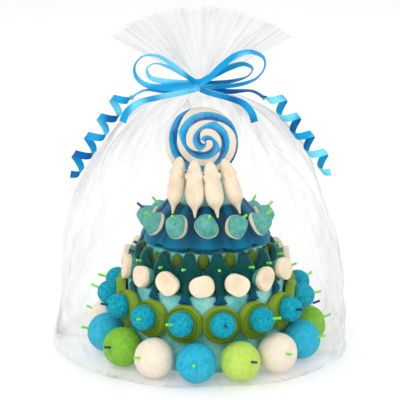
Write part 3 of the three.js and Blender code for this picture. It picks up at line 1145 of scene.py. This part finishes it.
@dataclass
class DolphinRow(Row):
    """Jelly dolphins up the middle drum, snouts up, with a drop between each pair.

    Each section has its height, its back and its front from the tower's axis and its half width, in
    millimetres: fluke over the ledge, tail stock, round back, flippers, head and snout.
    """

    kind: str = "dolphin"
    slots: tuple[str, ...] = ("teal_jelly",)
    fan: float = 12.0
    seed: int = 200
    navy: tuple[int, ...] = (6, 11, 12)
    sections: tuple[Section, ...] = (
        (61.8, 70.2, 72.2, 5.8), (63.0, 70.2, 73.4, 6.8), (64.6, 70.2, 74.0, 5.2),
        (67.0, 70.1, 74.6, 3.8), (69.2, 66.0, 74.0, 3.8), (72.0, 58.5, 70.4, 5.2),
        (76.0, 55.6, 66.6, 7.4), (80.0, 55.2, 65.2, 9.8), (83.5, 55.0, 64.4, 11.8),
        (86.5, 54.8, 63.8, 12.6), (89.5, 54.6, 63.6, 11.0), (92.5, 54.3, 63.6, 8.4),
        (95.5, 54.1, 63.4, 6.4), (98.5, 53.9, 62.6, 5.6), (101.2, 53.7, 61.0, 4.8),
        (103.0, 53.5, 58.8, 3.4), (104.0, 53.4, 56.8, 1.5),
    )
    wall: float = 55 * MM
    ledge: float = 68 * MM
    snout: float = 104 * MM
    flipper: float = 12.6 * MM
    flipper_height: float = 86.5 * MM
    flipper_tall: float = 8 * MM
    flipper_back: float = 1.6 * MM
    lobe_size: Point = (5.2 * MM, 2.6 * MM, 8 * MM)
    lobe_sunk: float = 0.4 * MM
    lobe_lift: float = 27 * MM
    drop_height: float = 79 * MM
    drop_ring: float = 74.8 * MM
    drop_turn: float = 0.47
    drop_lean: float = -8.0
    drop_askew: float = 14.0
    pick_out: float = 7 * MM
    pick_lift: float = 22 * MM
    pick_rise: float = 14.0
    pick_sag: float = 0.55

    def dolphin(self) -> Piece:
        """Models one dolphin with its flippers swept back."""
        stations = [
            ((0.0, -(back + front) / 2 * MM, height * MM), half * MM, (front - back) / 2 * MM)
            for height, back, front, half in self.sections
        ]
        piece = drawn("dolphin", 16, stations)
        subdivided(piece, 2)
        places = corners_of(piece)
        edge = np.clip(1.6 * np.abs(places[:, 0]) / self.flipper - 0.5, 0, 1)
        level = np.clip(1 - np.abs(places[:, 2] - self.flipper_height) / self.flipper_tall, 0, 1)
        places[:, 1] += self.flipper_back * (edge * level)
        move_corners(piece, places)
        shaded(piece, DOLPHIN_JELLY)
        return piece

    def lobe(self) -> Piece:
        """Models the olive jelly that shows on the wall between two heads."""
        piece = added(bpy.ops.mesh.primitive_uv_sphere_add, segments=20, ring_count=12, radius=1.0)
        resized(piece, self.lobe_size)
        put = Matrix.Translation((0, -self.wall + self.lobe_sunk, self.ledge + self.lobe_lift))
        piece.data.transform(spun(TOWER.step / 2, "Z") @ put)
        shaded(piece, OLIVE_JELLY)
        return piece

    def lowered(self, piece: Piece, sag: float) -> Piece:
        """Shortens what stands above the ledge, so that the snout ends lower."""
        places = corners_of(piece)
        above = np.maximum(places[:, 2] - self.ledge, 0.0)
        places[:, 2] -= above * sag / (self.snout - self.ledge)
        move_corners(piece, places)
        return piece

    def masters(self) -> tuple[Piece, ...]:
        """Models the dolphin, the drop and the jelly between."""
        return self.dolphin(), DROP.build(), self.lobe()

    def sweet(
        self, index: int, draw: random.Random, dolphin: Piece, drop: Piece, lobe: Piece
    ) -> list[Piece]:
        """Lowers a dolphin and the jelly beside it, and adds a drop and a stick."""
        side = self.lean(index)
        sag = TOWER.droop(self.angle(index))
        height = self.ledge + self.pick_lift - self.pick_sag * sag
        place = (side / 6 * MM, -self.wall - self.pick_out, height)
        pick = PICKS.build(place, side, self.pick_rise, index in self.navy)
        beside = spun(TOWER.step * self.drop_turn, "Z")
        out = Matrix.Translation((0, -self.drop_ring, self.drop_height))
        askew = spun(draw.uniform(-self.drop_askew, self.drop_askew), "Z")
        put = beside @ out @ askew @ spun(self.drop_lean, "X") @ tumbled(draw, "Y")
        between = self.lowered(copied(lobe, "between"), sag)
        animal = self.lowered(copied(dolphin, "animal"), sag)
        return [animal, copied(drop, "sweet", put), between, pick]


@dataclass
class Collar:
    """Jelly tongues down the top cone, run together at a flared brim, each with a drop, jelly side out.

    Each level of a tongue has its height and its reach from the brim and its half width, in millimetres.
    Melting takes about a millimetre and a half off the brim.
    """

    count: int = 11
    brim: float = 57.5
    brim_height: float = 106.2
    lip: float = 51.0
    cone: tuple[Pair, Pair] = ((44.8, 100.0), (24.8, 136.0))
    levels: Points = (
        (-5.6, -6.0, 10.0), (-1.8, -5.6, 13.0), (-0.6, -2.6, 14.0), (0.6, 0.0, 15.6),
        (2.2, -0.2, 15.6), (4.4, -2.6, 14.8), (8.0, -6.2, 13.6), (12.0, -9.6, 12.6),
        (17.0, -14.2, 11.2), (22.0, -18.8, 10.2), (26.5, -22.8, 9.0), (29.4, -27.0, 7.6),
    )
    proud: float = 0.011
    drop_ring: float = 42.5 * MM
    drop_height: float = 121.5 * MM
    drop_rise: float = 32.0
    slip: float = 0.35
    flank: float = 8 * MM
    pick_place: Point = (2 * MM, -52 * MM, 132.5 * MM)
    pick_side: float = 8.0
    pick_rise: float = 40.0
    seed: int = 300
    navy: tuple[int, ...] = (5, 8)

    def angle(self, index: int) -> float:
        """Where a tongue hangs, in degrees to the right of the front."""
        return 360 / self.count * index

    def hang(self, angle: float) -> float:
        """How much lower a drop sits at an angle in degrees: behind, the flank drops are out of sight."""
        behind = self.flank if math.cos(math.radians(angle)) < 0 else 0.0
        return TOWER.droop(angle) + behind * math.sin(math.radians(2 * angle)) ** 2

    def spread(self, index: int) -> Matrix:
        """Some tongues stand out a little more than others."""
        out = 1 + self.proud * (index % 3)
        return Matrix.Diagonal((out, out, 1.0, 1.0))

    def tongue(self) -> Piece:
        """Models one tongue, narrow at its top, round along its middle and wide at the brim."""
        (low_radius, low), (high_radius, high) = self.cone
        stations = []
        for rise, reach, half in self.levels:
            height = self.brim_height + rise
            back = low_radius + (high_radius - low_radius) / (high - low) * (height - low)
            thick = self.brim + reach - back
            middle = (0.0, -(back + thick / 2) * MM, height * MM)
            stations.append((middle, half * MM, thick / 2 * MM))
        return drawn("tongue", 16, stations)

    def skirt(self) -> Piece:
        """Sets the tongues round the cone and melts them together."""
        tongue = self.tongue()
        parts = []
        for index in range(self.count):
            angle = self.angle(index)
            part = copied(tongue, "tongue_part")
            places = corners_of(part)
            beyond = np.hypot(places[:, 0], places[:, 1]) / MM - self.lip
            places[:, 2] -= TOWER.droop(angle) * np.clip(beyond / (self.brim - self.lip), 0, 1)
            move_corners(part, places)
            part.data.transform(spun(angle, "Z") @ self.spread(index))
            parts.append(part)
        discard(tongue)
        piece = joined("collar_look", parts)
        melted(piece, 0.8 * MM, 7)
        piece.data.transform(TOWER.stand())
        shaded(piece, TONGUE_JELLY)
        return piece

    def build(self) -> None:
        """Makes the skirt and sets a drop and a stick on every tongue."""
        drop = DROP.build()
        out = Matrix.Translation((0, -self.drop_ring, self.drop_height)) @ spun(180 - self.drop_rise, "X")
        parts = [self.skirt()]
        for index in range(self.count):
            draw = random.Random(self.seed + index)
            pick = PICKS.build(self.pick_place, self.pick_side, self.pick_rise, index in self.navy)
            angle = self.angle(index)
            hang = self.hang(angle)
            hung = Matrix.Translation((0, -self.slip * hang, -hang))
            around = TOWER.turn(angle) @ self.spread(index) @ hung
            for part in (copied(drop, "drop_part", out @ tumbled(draw, "Y")), pick):
                part.data.transform(around)
                parts.append(part)
        discard(drop)
        hand_in(joined("collar_look", parts), "blue_jelly", "tongue_collar")


@dataclass
class Mice:
    """Foam mice that stand round the crown on their tails, noses up.

    Each station has its share of the length, and its shares of the half width and half depth.
    """

    length: float = 50 * MM
    half: float = 7.7 * MM
    deep: float = 6.8 * MM
    stations: Points = (
        (0.0, 0.12, 0.15), (0.07, 0.2, 0.24), (0.14, 0.31, 0.36), (0.19, 0.54, 0.58),
        (0.25, 0.86, 0.86), (0.32, 1.0, 1.0), (0.42, 1.06, 1.04), (0.52, 1.03, 1.0),
        (0.6, 0.95, 0.96), (0.66, 0.84, 0.9), (0.72, 0.84, 0.9), (0.79, 0.8, 0.86),
        (0.86, 0.7, 0.74), (0.92, 0.56, 0.6), (0.965, 0.4, 0.42), (1.0, 0.15, 0.16),
    )
    ear: float = 2.9 * MM
    ear_shape: Point = (0.9, 0.62, 1.15)
    ear_place: Point = (5.5 * MM, -2.2 * MM, 0.715)
    foot_ring: float = 39 * MM
    foot_height: float = 128.5 * MM
    head_ring: float = 25 * MM
    back_ring: float = 18 * MM
    head_shift: float = -4 * MM
    clear: float = 5.5 * MM + 0.9 * 6.8 * MM
    angles: tuple[float, ...] = (-48.0, -14.5, 14.5, 48.0, 147.0, 180.0, 213.0)

    def mouse(self) -> Piece:
        """Models one mouse along +Z, with its back to -Y: tail, body, ears and snout."""
        stations = [
            ((0.0, 0.0, self.length * along), self.half * wide, self.deep * thick)
            for along, wide, thick in self.stations
        ]
        parts = [drawn("mouse", 16, stations)]
        out, back, along = self.ear_place
        for side in (-1, 1):
            ear = added(bpy.ops.mesh.primitive_uv_sphere_add, segments=16, ring_count=10, radius=self.ear)
            resized(ear, self.ear_shape)
            ear.data.transform(Matrix.Translation((side * out, back, self.length * along)))
            parts.append(ear)
        piece = joined("mouse", parts)
        melted(piece, 0.75 * MM, 6)
        shaded(piece, CREAM)
        return piece

    def stand(self, turn: float) -> Matrix:
        """The place of a mouse at a turn in radians to the right of the front, clear of the lollipop."""
        ring = self.head_ring if math.cos(turn) > 0 else self.back_ring
        depth = max(abs(ring * math.cos(turn)), self.clear)
        foot = Vector((self.foot_ring * math.sin(turn), -self.foot_ring * math.cos(turn), self.foot_height))
        head_x = self.head_shift + ring * math.sin(turn)
        head = Vector((head_x, -math.copysign(depth, math.cos(turn)), 0.0))
        reach = math.hypot(head.x - foot.x, head.y - foot.y)
        head.z = self.foot_height + math.sqrt(self.length**2 - reach**2)
        along = (head - foot).normalized()
        across = along.cross(Vector((math.sin(turn), -math.cos(turn), 0.0))).normalized()
        inward = along.cross(across).normalized()
        basis = Matrix((across, inward, along)).transposed().to_4x4()
        return TOWER.stand() @ Matrix.Translation(foot) @ basis

    def build(self) -> None:
        """Stands a copy at each place, its head leaning in."""
        master = self.mouse()
        for number, angle in enumerate(self.angles, start=1):
            piece = copied(master, f"mouse_{number:02d}_look", self.stand(math.radians(angle)))
            hand_in(piece, "cream_foam", f"mouse_{number:02d}")
        discard(master)


@dataclass
class Lollipop:
    """A disc of hard candy with two blue bands wound through the white, on a stick."""

    radius: float = 31.5 * MM
    thick: float = 11 * MM
    bulge: float = 3.6
    height: float = 185 * MM
    shift: float = -4 * MM
    arms: int = 2
    spacing: float = 10.4 * MM
    start: float = 3.06
    eye: Pair = (3 * MM, 2.2 * MM)
    groove: float = 0.1
    groove_wide: float = 0.22
    stick: float = 2.2 * MM
    stick_foot: float = 134 * MM
    stick_sunk: float = 0.6

    def bands(self, places: np.ndarray) -> tuple[np.ndarray, np.ndarray]:
        """How places on the disc lie to the blue bands.

        Args:
            places: The places.

        Returns:
            How far inside a band each lies, below 0 in the white, and how near its inner edge, -1 to 1.
        """
        x, z = places[..., 0] - self.eye[0], places[..., 2] - self.eye[1]
        turn, reach = np.arctan2(z, x), np.hypot(x, z)
        winding = self.arms * turn + 2 * math.pi * reach / self.spacing - self.start
        taper = np.sin(turn - 2 * math.pi * reach / (1.9 * self.spacing) + 0.4)
        return np.sin(winding) + 0.8 * taper + 0.2, np.cos(winding)

    def disc(self) -> Piece:
        """Models the disc from its front middle over the rim to its back, grooved beside each band."""
        share = np.linspace(0.0, 1.0, 90)
        half = self.radius * (1 - (1 - share) ** 2.2)
        rise = 0.5 * self.thick * (1 - (half / self.radius) ** self.bulge) ** (1 / self.bulge)
        reach = np.concatenate([half, half[-2::-1]])[:, None]
        depth = np.concatenate([-rise, rise[-2::-1]])[:, None]
        turn = np.linspace(0.0, 2 * math.pi, 241)
        places = np.stack([reach * np.cos(turn), depth + 0 * turn, reach * np.sin(turn)], axis=2)
        places[..., 1] *= 1 - self.groove * np.exp(-((self.bands(places)[0] / self.groove_wide) ** 2))
        piece = skinned("lollipop_look", places, tube=True)
        for name, values in zip((SWIRL.band, SWIRL.lean), self.bands(corners_of(piece))):
            piece.data.attributes.new(name, "FLOAT", "POINT").data.foreach_set("value", values)
        shaded(piece, SWIRL)
        return piece

    def rod(self) -> Piece:
        """Models the stick under the disc's middle."""
        length = self.height - self.stick_sunk * self.radius - self.stick_foot
        piece = added(bpy.ops.mesh.primitive_cylinder_add, vertices=20, radius=self.stick, depth=length)
        piece.data.transform(Matrix.Translation((0, 0, self.stick_foot + length / 2 - self.height)))
        bevelled(piece, 60, 0.3 * MM, 2)
        shaded(piece, STICK_WHITE, sharp=40)
        return piece

    def build(self) -> None:
        """Sets the disc and its stick on the crown."""
        piece = joined("lollipop_look", [self.disc(), self.rod()])
        piece.data.transform(TOWER.stand() @ Matrix.Translation((self.shift, 0, self.height)))
        hand_in(piece, "hard_candy", "lollipop")


# Bag and ribbon


@dataclass
class Bag:
    """A clear bag that stands in folds, is gathered at the neck and opens into a pleated fan.

    Each section has its height, half width and half depth. All sizes are in millimetres.
    """

    columns: int = 320
    neck: float = 240.0
    neck_radius: float = 5.0
    square: float = 0.86
    sections: Points = (
        (0, 122, 97), (7, 128.5, 109), (20, 129.3, 117), (60, 124.5, 114), (109, 116.6, 102),
        (145, 106, 88), (179, 90, 70), (204, 70, 51), (222, 46, 28), (233, 20, 8.5), (240, 5, 5),
    )
    wave: float = 1.6
    waves: int = 8
    dent: float = 2.5
    gather: float = 0.55
    spread: float = 63.0
    fan_middle: float = 63.0
    fan_side: float = 86.0
    fan_deep: float = 11.0
    pleats: int = 44
    ragged: float = 0.02
    facet: float = 6.0
    facets: tuple[int, ...] = (3, 4, 5, 7, 9, 12)
    crease_count: int = 60

    def zigzag(self, turn: np.ndarray, count: int, seed: int) -> np.ndarray:
        """Sharp uneven folds round a ring.

        Args:
            turn: Angles in radians.
            count: Folds round the ring.
            seed: Which folds.

        Returns:
            A height from -1 to 1 at each angle.
        """
        draw = np.random.default_rng(seed)
        knots = 2 * count
        spots = (np.arange(knots) + draw.uniform(-0.32, 0.32, knots)) * (2 * math.pi / knots)
        tips = np.where(np.arange(knots) % 2 == 0, 1.0, -1.0) * draw.uniform(0.25, 1.0, knots)
        return np.interp(turn % (2 * math.pi), spots, tips, period=2 * math.pi)

    def body(self, turn: np.ndarray) -> np.ndarray:
        """Rings of the bag from the middle of its floor to its neck."""
        keys, wides, deeps = zip(*self.sections)
        heights = np.concatenate([np.linspace(0.0, 8.0, 10), np.linspace(9.5, self.neck, 110)])[:, None]
        wide, deep = flow(keys, wides, heights), flow(keys, deeps, heights)
        level = heights / self.neck
        gather = np.clip((level - self.gather) / (1 - self.gather), 0, 1)
        fold = self.wave * np.sin(math.pi * level) * np.sin(self.waves * turn + heights / 40)
        fold = fold + np.maximum(self.crumple(turn, heights) + self.creases(turn, heights), -self.dent)
        fold = fold + 3.0 * gather * (1 - gather**3) * self.zigzag(turn, 26, 5)[None, :]
        fold = fold + 1.4 * gather * (1 - gather**2) * self.zigzag(turn + 0.5 * level, 44, 6)
        fold = fold * np.clip(np.minimum(wide, deep) / 40, 0.12, 1)
        side, front = (np.sign(way) * np.abs(way) ** self.square for way in (np.cos(turn), np.sin(turn)))
        rings = np.stack([(wide + fold) * side, (deep + fold) * front, heights + 0 * turn], axis=2)
        floor = rings[:1] * np.linspace(0.0, 0.92, 8)[:, None, None]
        floor[:, :, 2] = 0.0
        return np.concatenate([floor, rings])

    def crumple(self, turn: np.ndarray, heights: np.ndarray) -> np.ndarray:
        """Flat facets with straight folds between them."""
        draw = np.random.default_rng(4)
        total = np.zeros((heights.shape[0], turn.shape[0]))
        for waves in self.facets:
            slant, start = draw.uniform(-2.2, 2.2), draw.uniform(0, 1)
            place = (waves * turn / (2 * math.pi) + slant * heights / self.neck + start) % 1
            total += self.facet / waves * (4 * np.abs(place - 0.5) - 1)
        return total

    def creases(self, turn: np.ndarray, heights: np.ndarray) -> np.ndarray:
        """Long slanting creases over the body."""
        draw = np.random.default_rng(11)
        total = np.zeros((heights.shape[0], turn.shape[0]))
        for _ in range(self.crease_count):
            middle = draw.uniform(0, 2 * math.pi)
            high = draw.uniform(0, 210)
            slant = draw.uniform(-0.016, 0.016)
            wide = draw.uniform(0.05, 0.17)
            long = draw.uniform(20, 75)
            off = (turn - middle - slant * (heights - high) + math.pi) % (2 * math.pi) - math.pi
            ridge = np.clip(1 - np.abs(off) / wide, 0, 1)
            total += draw.uniform(-2.4, 1.8) * ridge * np.exp(-(((heights - high) / long) ** 2))
        return total

    def fan(self, turn: np.ndarray) -> np.ndarray:
        """Rings of the pleated fan from the neck to its ragged lip."""
        share = np.linspace(0.0, 1.0, 40)[1:, None]
        lean = math.radians(self.spread) * np.cos(turn)
        ragged = 1 + self.ragged * self.zigzag(turn, self.pleats, 21) * share**3
        length = (self.fan_middle + (self.fan_side - self.fan_middle) * np.cos(turn) ** 2) * share * ragged
        pleat = 2.6 * share**0.8 * self.zigzag(turn, self.pleats, 22)
        pleat = pleat + 1.2 * share**2 * self.zigzag(turn + 0.06 * np.sin(5 * share), 70, 23)
        deep = self.neck_radius + (self.fan_deep - self.neck_radius) * share + pleat
        half = self.neck_radius * (1 - share) * np.cos(turn)
        return np.stack(
            [half + length * np.sin(lean), deep * np.sin(turn), self.neck + length * np.cos(lean)], axis=2
        )

    def build(self) -> None:
        """Lays the film over its rings."""
        turn = np.linspace(0.5 * math.pi, 2.5 * math.pi, self.columns + 1)
        places = np.concatenate([self.body(turn), self.fan(turn)]) * MM
        places[:, -1] = places[:, 0]
        piece = skinned("bag_look", places, tube=False)
        with editing(piece):
            bpy.ops.mesh.remove_doubles(threshold=0.005 * MM)
            bpy.ops.mesh.normals_make_consistent(inside=False)
        shaded(piece, FILM)
        hand_in(piece, "clear_film", "bag")


@dataclass
class Ribbon:
    """Curling ribbon: a knot, two loops and a cut tail on each side, and two curled tails.

    Places of loops and tails are in millimetres from the knot. Each loop has its layer and its places.
    """

    knot: Point = (-3 * MM, -12.5 * MM, 240 * MM)
    knot_size: Point = (5.4 * MM, 4.2 * MM, 5.2 * MM)
    pinch: float = 0.16
    width: float = 6.2 * MM
    thick: float = 0.5 * MM
    cup: float = 0.25 * MM
    tilt: float = 44.0
    tip_tilt: float = 75.0
    curl_radius: float = 6.8
    curl_turns: float = 4.25
    curl_lead: float = 0.35
    loops: tuple[tuple[float, Pairs], ...] = (
        (-4, ((-1, 2), (-9, 8), (-21, 18), (-34, 26), (-46, 26),
              (-53, 18), (-52, 9), (-44, 2), (-26, -1), (-1, -1))),
        (-4, ((1, 2), (9, 7), (20, 18), (32, 27), (45, 30), (55, 25),
              (56, 17), (50, 8), (40, 3), (24, 0), (1, -1))),
        (3.7, ((-1, 1), (-12, 8), (-25, 15), (-37, 18), (-43, 14), (-41, 7), (-30, 3), (-1, 0))),
        (3.7, ((1, 1), (13, 8), (27, 15), (39, 18), (46, 14), (43, 8), (30, 3), (1, 0))),
    )
    tail: Points = (
        (0.25, -10, -5), (0.5, -15, -7), (0.8, -21, -11), (0.95, -27, -18), (1.0, -30, -25),
    )
    tail_reaches: Pairs = ((-1, 63), (1, 47))
    curl_ends: Points = ((-1, 108, 72), (1, 112, 70))

    def strip(self, points: Sequence[Point], steps: int, widths: Widths) -> Piece:
        """Lays a strip along a curve.

        Args:
            points: Points of the curve in millimetres from the knot.
            steps: Places along it.
            widths: Gives the width's direction from the share of the length and the way along.

        Returns:
            The strip.
        """
        path = curve_through(points, steps) * MM
        along = np.gradient(path, axis=0)
        along /= np.linalg.norm(along, axis=1)[:, None]
        wide = widths(np.linspace(0.0, 1.0, steps)[:, None], along)
        wide = wide - along * (wide * along).sum(axis=1)[:, None]
        wide /= np.linalg.norm(wide, axis=1)[:, None]
        lift = np.cross(along, wide)
        rows = [
            path + wide * (offset * self.width / 2) + lift * (self.cup * offset**2)
            for offset in (-1.0, -0.6, 0.0, 0.6, 1.0)
        ]
        piece = skinned("strip", np.stack(rows, axis=1), tube=False)
        # The back faces take the second, darker material: painted shade.
        for finish in (RIBBON_FACE, RIBBON_BACK_SHADED):
            piece.data.materials.append(material_of(finish))
        modified(piece, "SOLIDIFY", thickness=self.thick, offset=0.0, material_offset=1)
        smoothed(piece, 50)
        return piece

    def loop(self, layer: float, places: Sequence[Pair]) -> Piece:
        """One loop of the bow through places in X and Z, flat along its sides and on edge at its tip."""
        front = np.array([0.0, -1.0, 0.0])

        def flat_or_edge(share: np.ndarray, along: np.ndarray) -> np.ndarray:
            """Turns the width from flat on to edge on at the tip."""
            tilt = np.radians(self.tilt + (self.tip_tilt - self.tilt) * np.sin(math.pi * share) ** 6)
            return np.cross(along, front) * np.cos(tilt) + front * np.sin(tilt)

        return self.strip([(x, layer - abs(x) / 14, z) for x, z in places], 80, flat_or_edge)

    def cut_tail(self, side: int, reach: float) -> Piece:
        """A short tail that falls over the bag's shoulder and ends in a cut."""
        points = [(side, -2, -3), *((side * reach * share, y, z) for share, y, z in self.tail)]
        first, last = np.array([0.0, -0.6, 1.0]), np.array([side, -0.3, 0.0])
        return self.strip(points, 44, lambda share, along: first * (1 - share) + last * share)

    def curl(self, side: int, reach: float, fall: float) -> Piece:
        """A long tail wound into a springy curl."""
        start = np.array([side * 62.0, -6.0, -6.0])
        line = np.array([side * reach, -16.0, -fall]) - start
        way = line / np.linalg.norm(line)
        out = np.array([0.0, -1.0, 0.0])
        across = np.cross(way, out)
        across /= np.linalg.norm(across)
        share = np.linspace(0.0, 1.0, 61)[:, None]
        turn = 2 * math.pi * self.curl_turns * share
        coil = start + line * share + out * self.curl_radius * np.sin(turn)
        coil = coil + across * self.curl_radius * np.cos(turn) * side
        lead = [(side, 1, -2), (side * 24, -2, -5), (side * 46, -5, -4)]
        flat = np.array([0.0, -0.5, 1.0])

        def wound(share: np.ndarray, along: np.ndarray) -> np.ndarray:
            """Turns the width from upright to lengthwise of the curl."""
            curled = np.clip(share / self.curl_lead, 0, 1)
            return flat * (1 - curled) + way * curled

        return self.strip([*lead, *map(tuple, coil)], 300, wound)

    def tie(self) -> Piece:
        """The knot: a puffed band round the crossing."""
        piece = added(bpy.ops.mesh.primitive_uv_sphere_add, segments=24, ring_count=14, radius=1.0)
        resized(piece, self.knot_size)
        places = corners_of(piece)
        places[:, 0] *= 1 - self.pinch * np.cos(places[:, 2] / self.knot_size[2] * math.pi)
        move_corners(piece, places)
        shaded(piece, RIBBON_FACE)
        return piece

    def build(self) -> None:
        """Makes every strip and joins them at the knot."""
        tails = [self.cut_tail(*reach) for reach in self.tail_reaches]
        loops = [self.loop(*loop) for loop in self.loops]
        curls = [self.curl(*end) for end in self.curl_ends]
        piece = joined("ribbon_look", [self.tie(), *tails, *loops, *curls])
        piece.data.transform(Matrix.Translation(self.knot))
        hand_in(piece, "blue_ribbon", "ribbon")


# Studio


@dataclass
class Studio:
    """Camera at the photograph's angle, pale floor and soft lights, each with a place, size and power."""

    distance: float = 1.35
    elevation: float = 16.9
    target: Point = (-1.5 * MM, 0.0, 134.4 * MM)
    lens: float = 139.0
    sensor: float = 36.0
    floor_size: float = 12.0
    floor_height: float = -0.2 * MM
    sky: float = 0.92
    lights: tuple[tuple[str, Point, float, float], ...] = (
        ("key", (-0.6, -1.1, 1.3), 0.9, 9.0),
        ("fill", (1.2, -1.1, 0.8), 1.2, 3.0),
        ("back", (0.3, 1.3, 1.2), 1.2, 2.0),
    )
    lit: Point = (0.0, 0.0, 0.12)

    def build(self) -> None:
        """Sets floor, lights, world and camera."""
        place = (0, 0, self.floor_height)
        floor = added(bpy.ops.mesh.primitive_plane_add, size=self.floor_size, location=place)
        floor.name = "floor"
        shaded(floor, GROUND)
        for light in self.lights:
            self.light(*light)
        scene = bpy.context.scene
        world = bpy.data.worlds.new("studio")
        world.use_nodes = True
        sky = world.node_tree.nodes["Background"].inputs
        sky["Color"].default_value = (1.0, 1.0, 1.0, 1.0)
        sky["Strength"].default_value = self.sky
        scene.world = world
        scene.view_settings.view_transform = "Standard"
        scene.cycles.transparent_max_bounces = 32
        self.camera()

    def camera(self) -> None:
        """Adds the camera."""
        deselect()
        bpy.ops.object.camera_add()
        camera = bpy.context.object
        rise = math.radians(self.elevation)
        way = Vector((0.0, -math.cos(rise), math.sin(rise)))
        camera.location = Vector(self.target) + way * self.distance
        camera.rotation_euler = (-way).to_track_quat("-Z", "Y").to_euler()
        camera.data.lens = self.lens
        camera.data.sensor_width = self.sensor
        bpy.context.scene.camera = camera

    def light(self, name: str, place: Point, size: float, power: float) -> None:
        """Adds a soft square light that faces the tower."""
        deselect()
        bpy.ops.object.light_add(type="AREA", location=place)
        lamp = bpy.context.object
        lamp.name = name
        lamp.data.size = size
        lamp.data.energy = power
        lamp.rotation_euler = (Vector(self.lit) - Vector(place)).to_track_quat("-Z", "Y").to_euler()


def main() -> None:
    """Builds every piece of the tower, the bag and the studio, in order."""
    logging.basicConfig(level=logging.INFO, format="%(name)s: %(message)s")
    tower = (Core(), BallRow(), WheelRow(), DolphinRow(), Collar(), Mice(), Lollipop())
    for assembly in (*tower, Bag(), Ribbon(), Studio()):
        assembly.build()
        LOG.info("%s built", type(assembly).__name__)


if __name__ == "__main__":
    main()
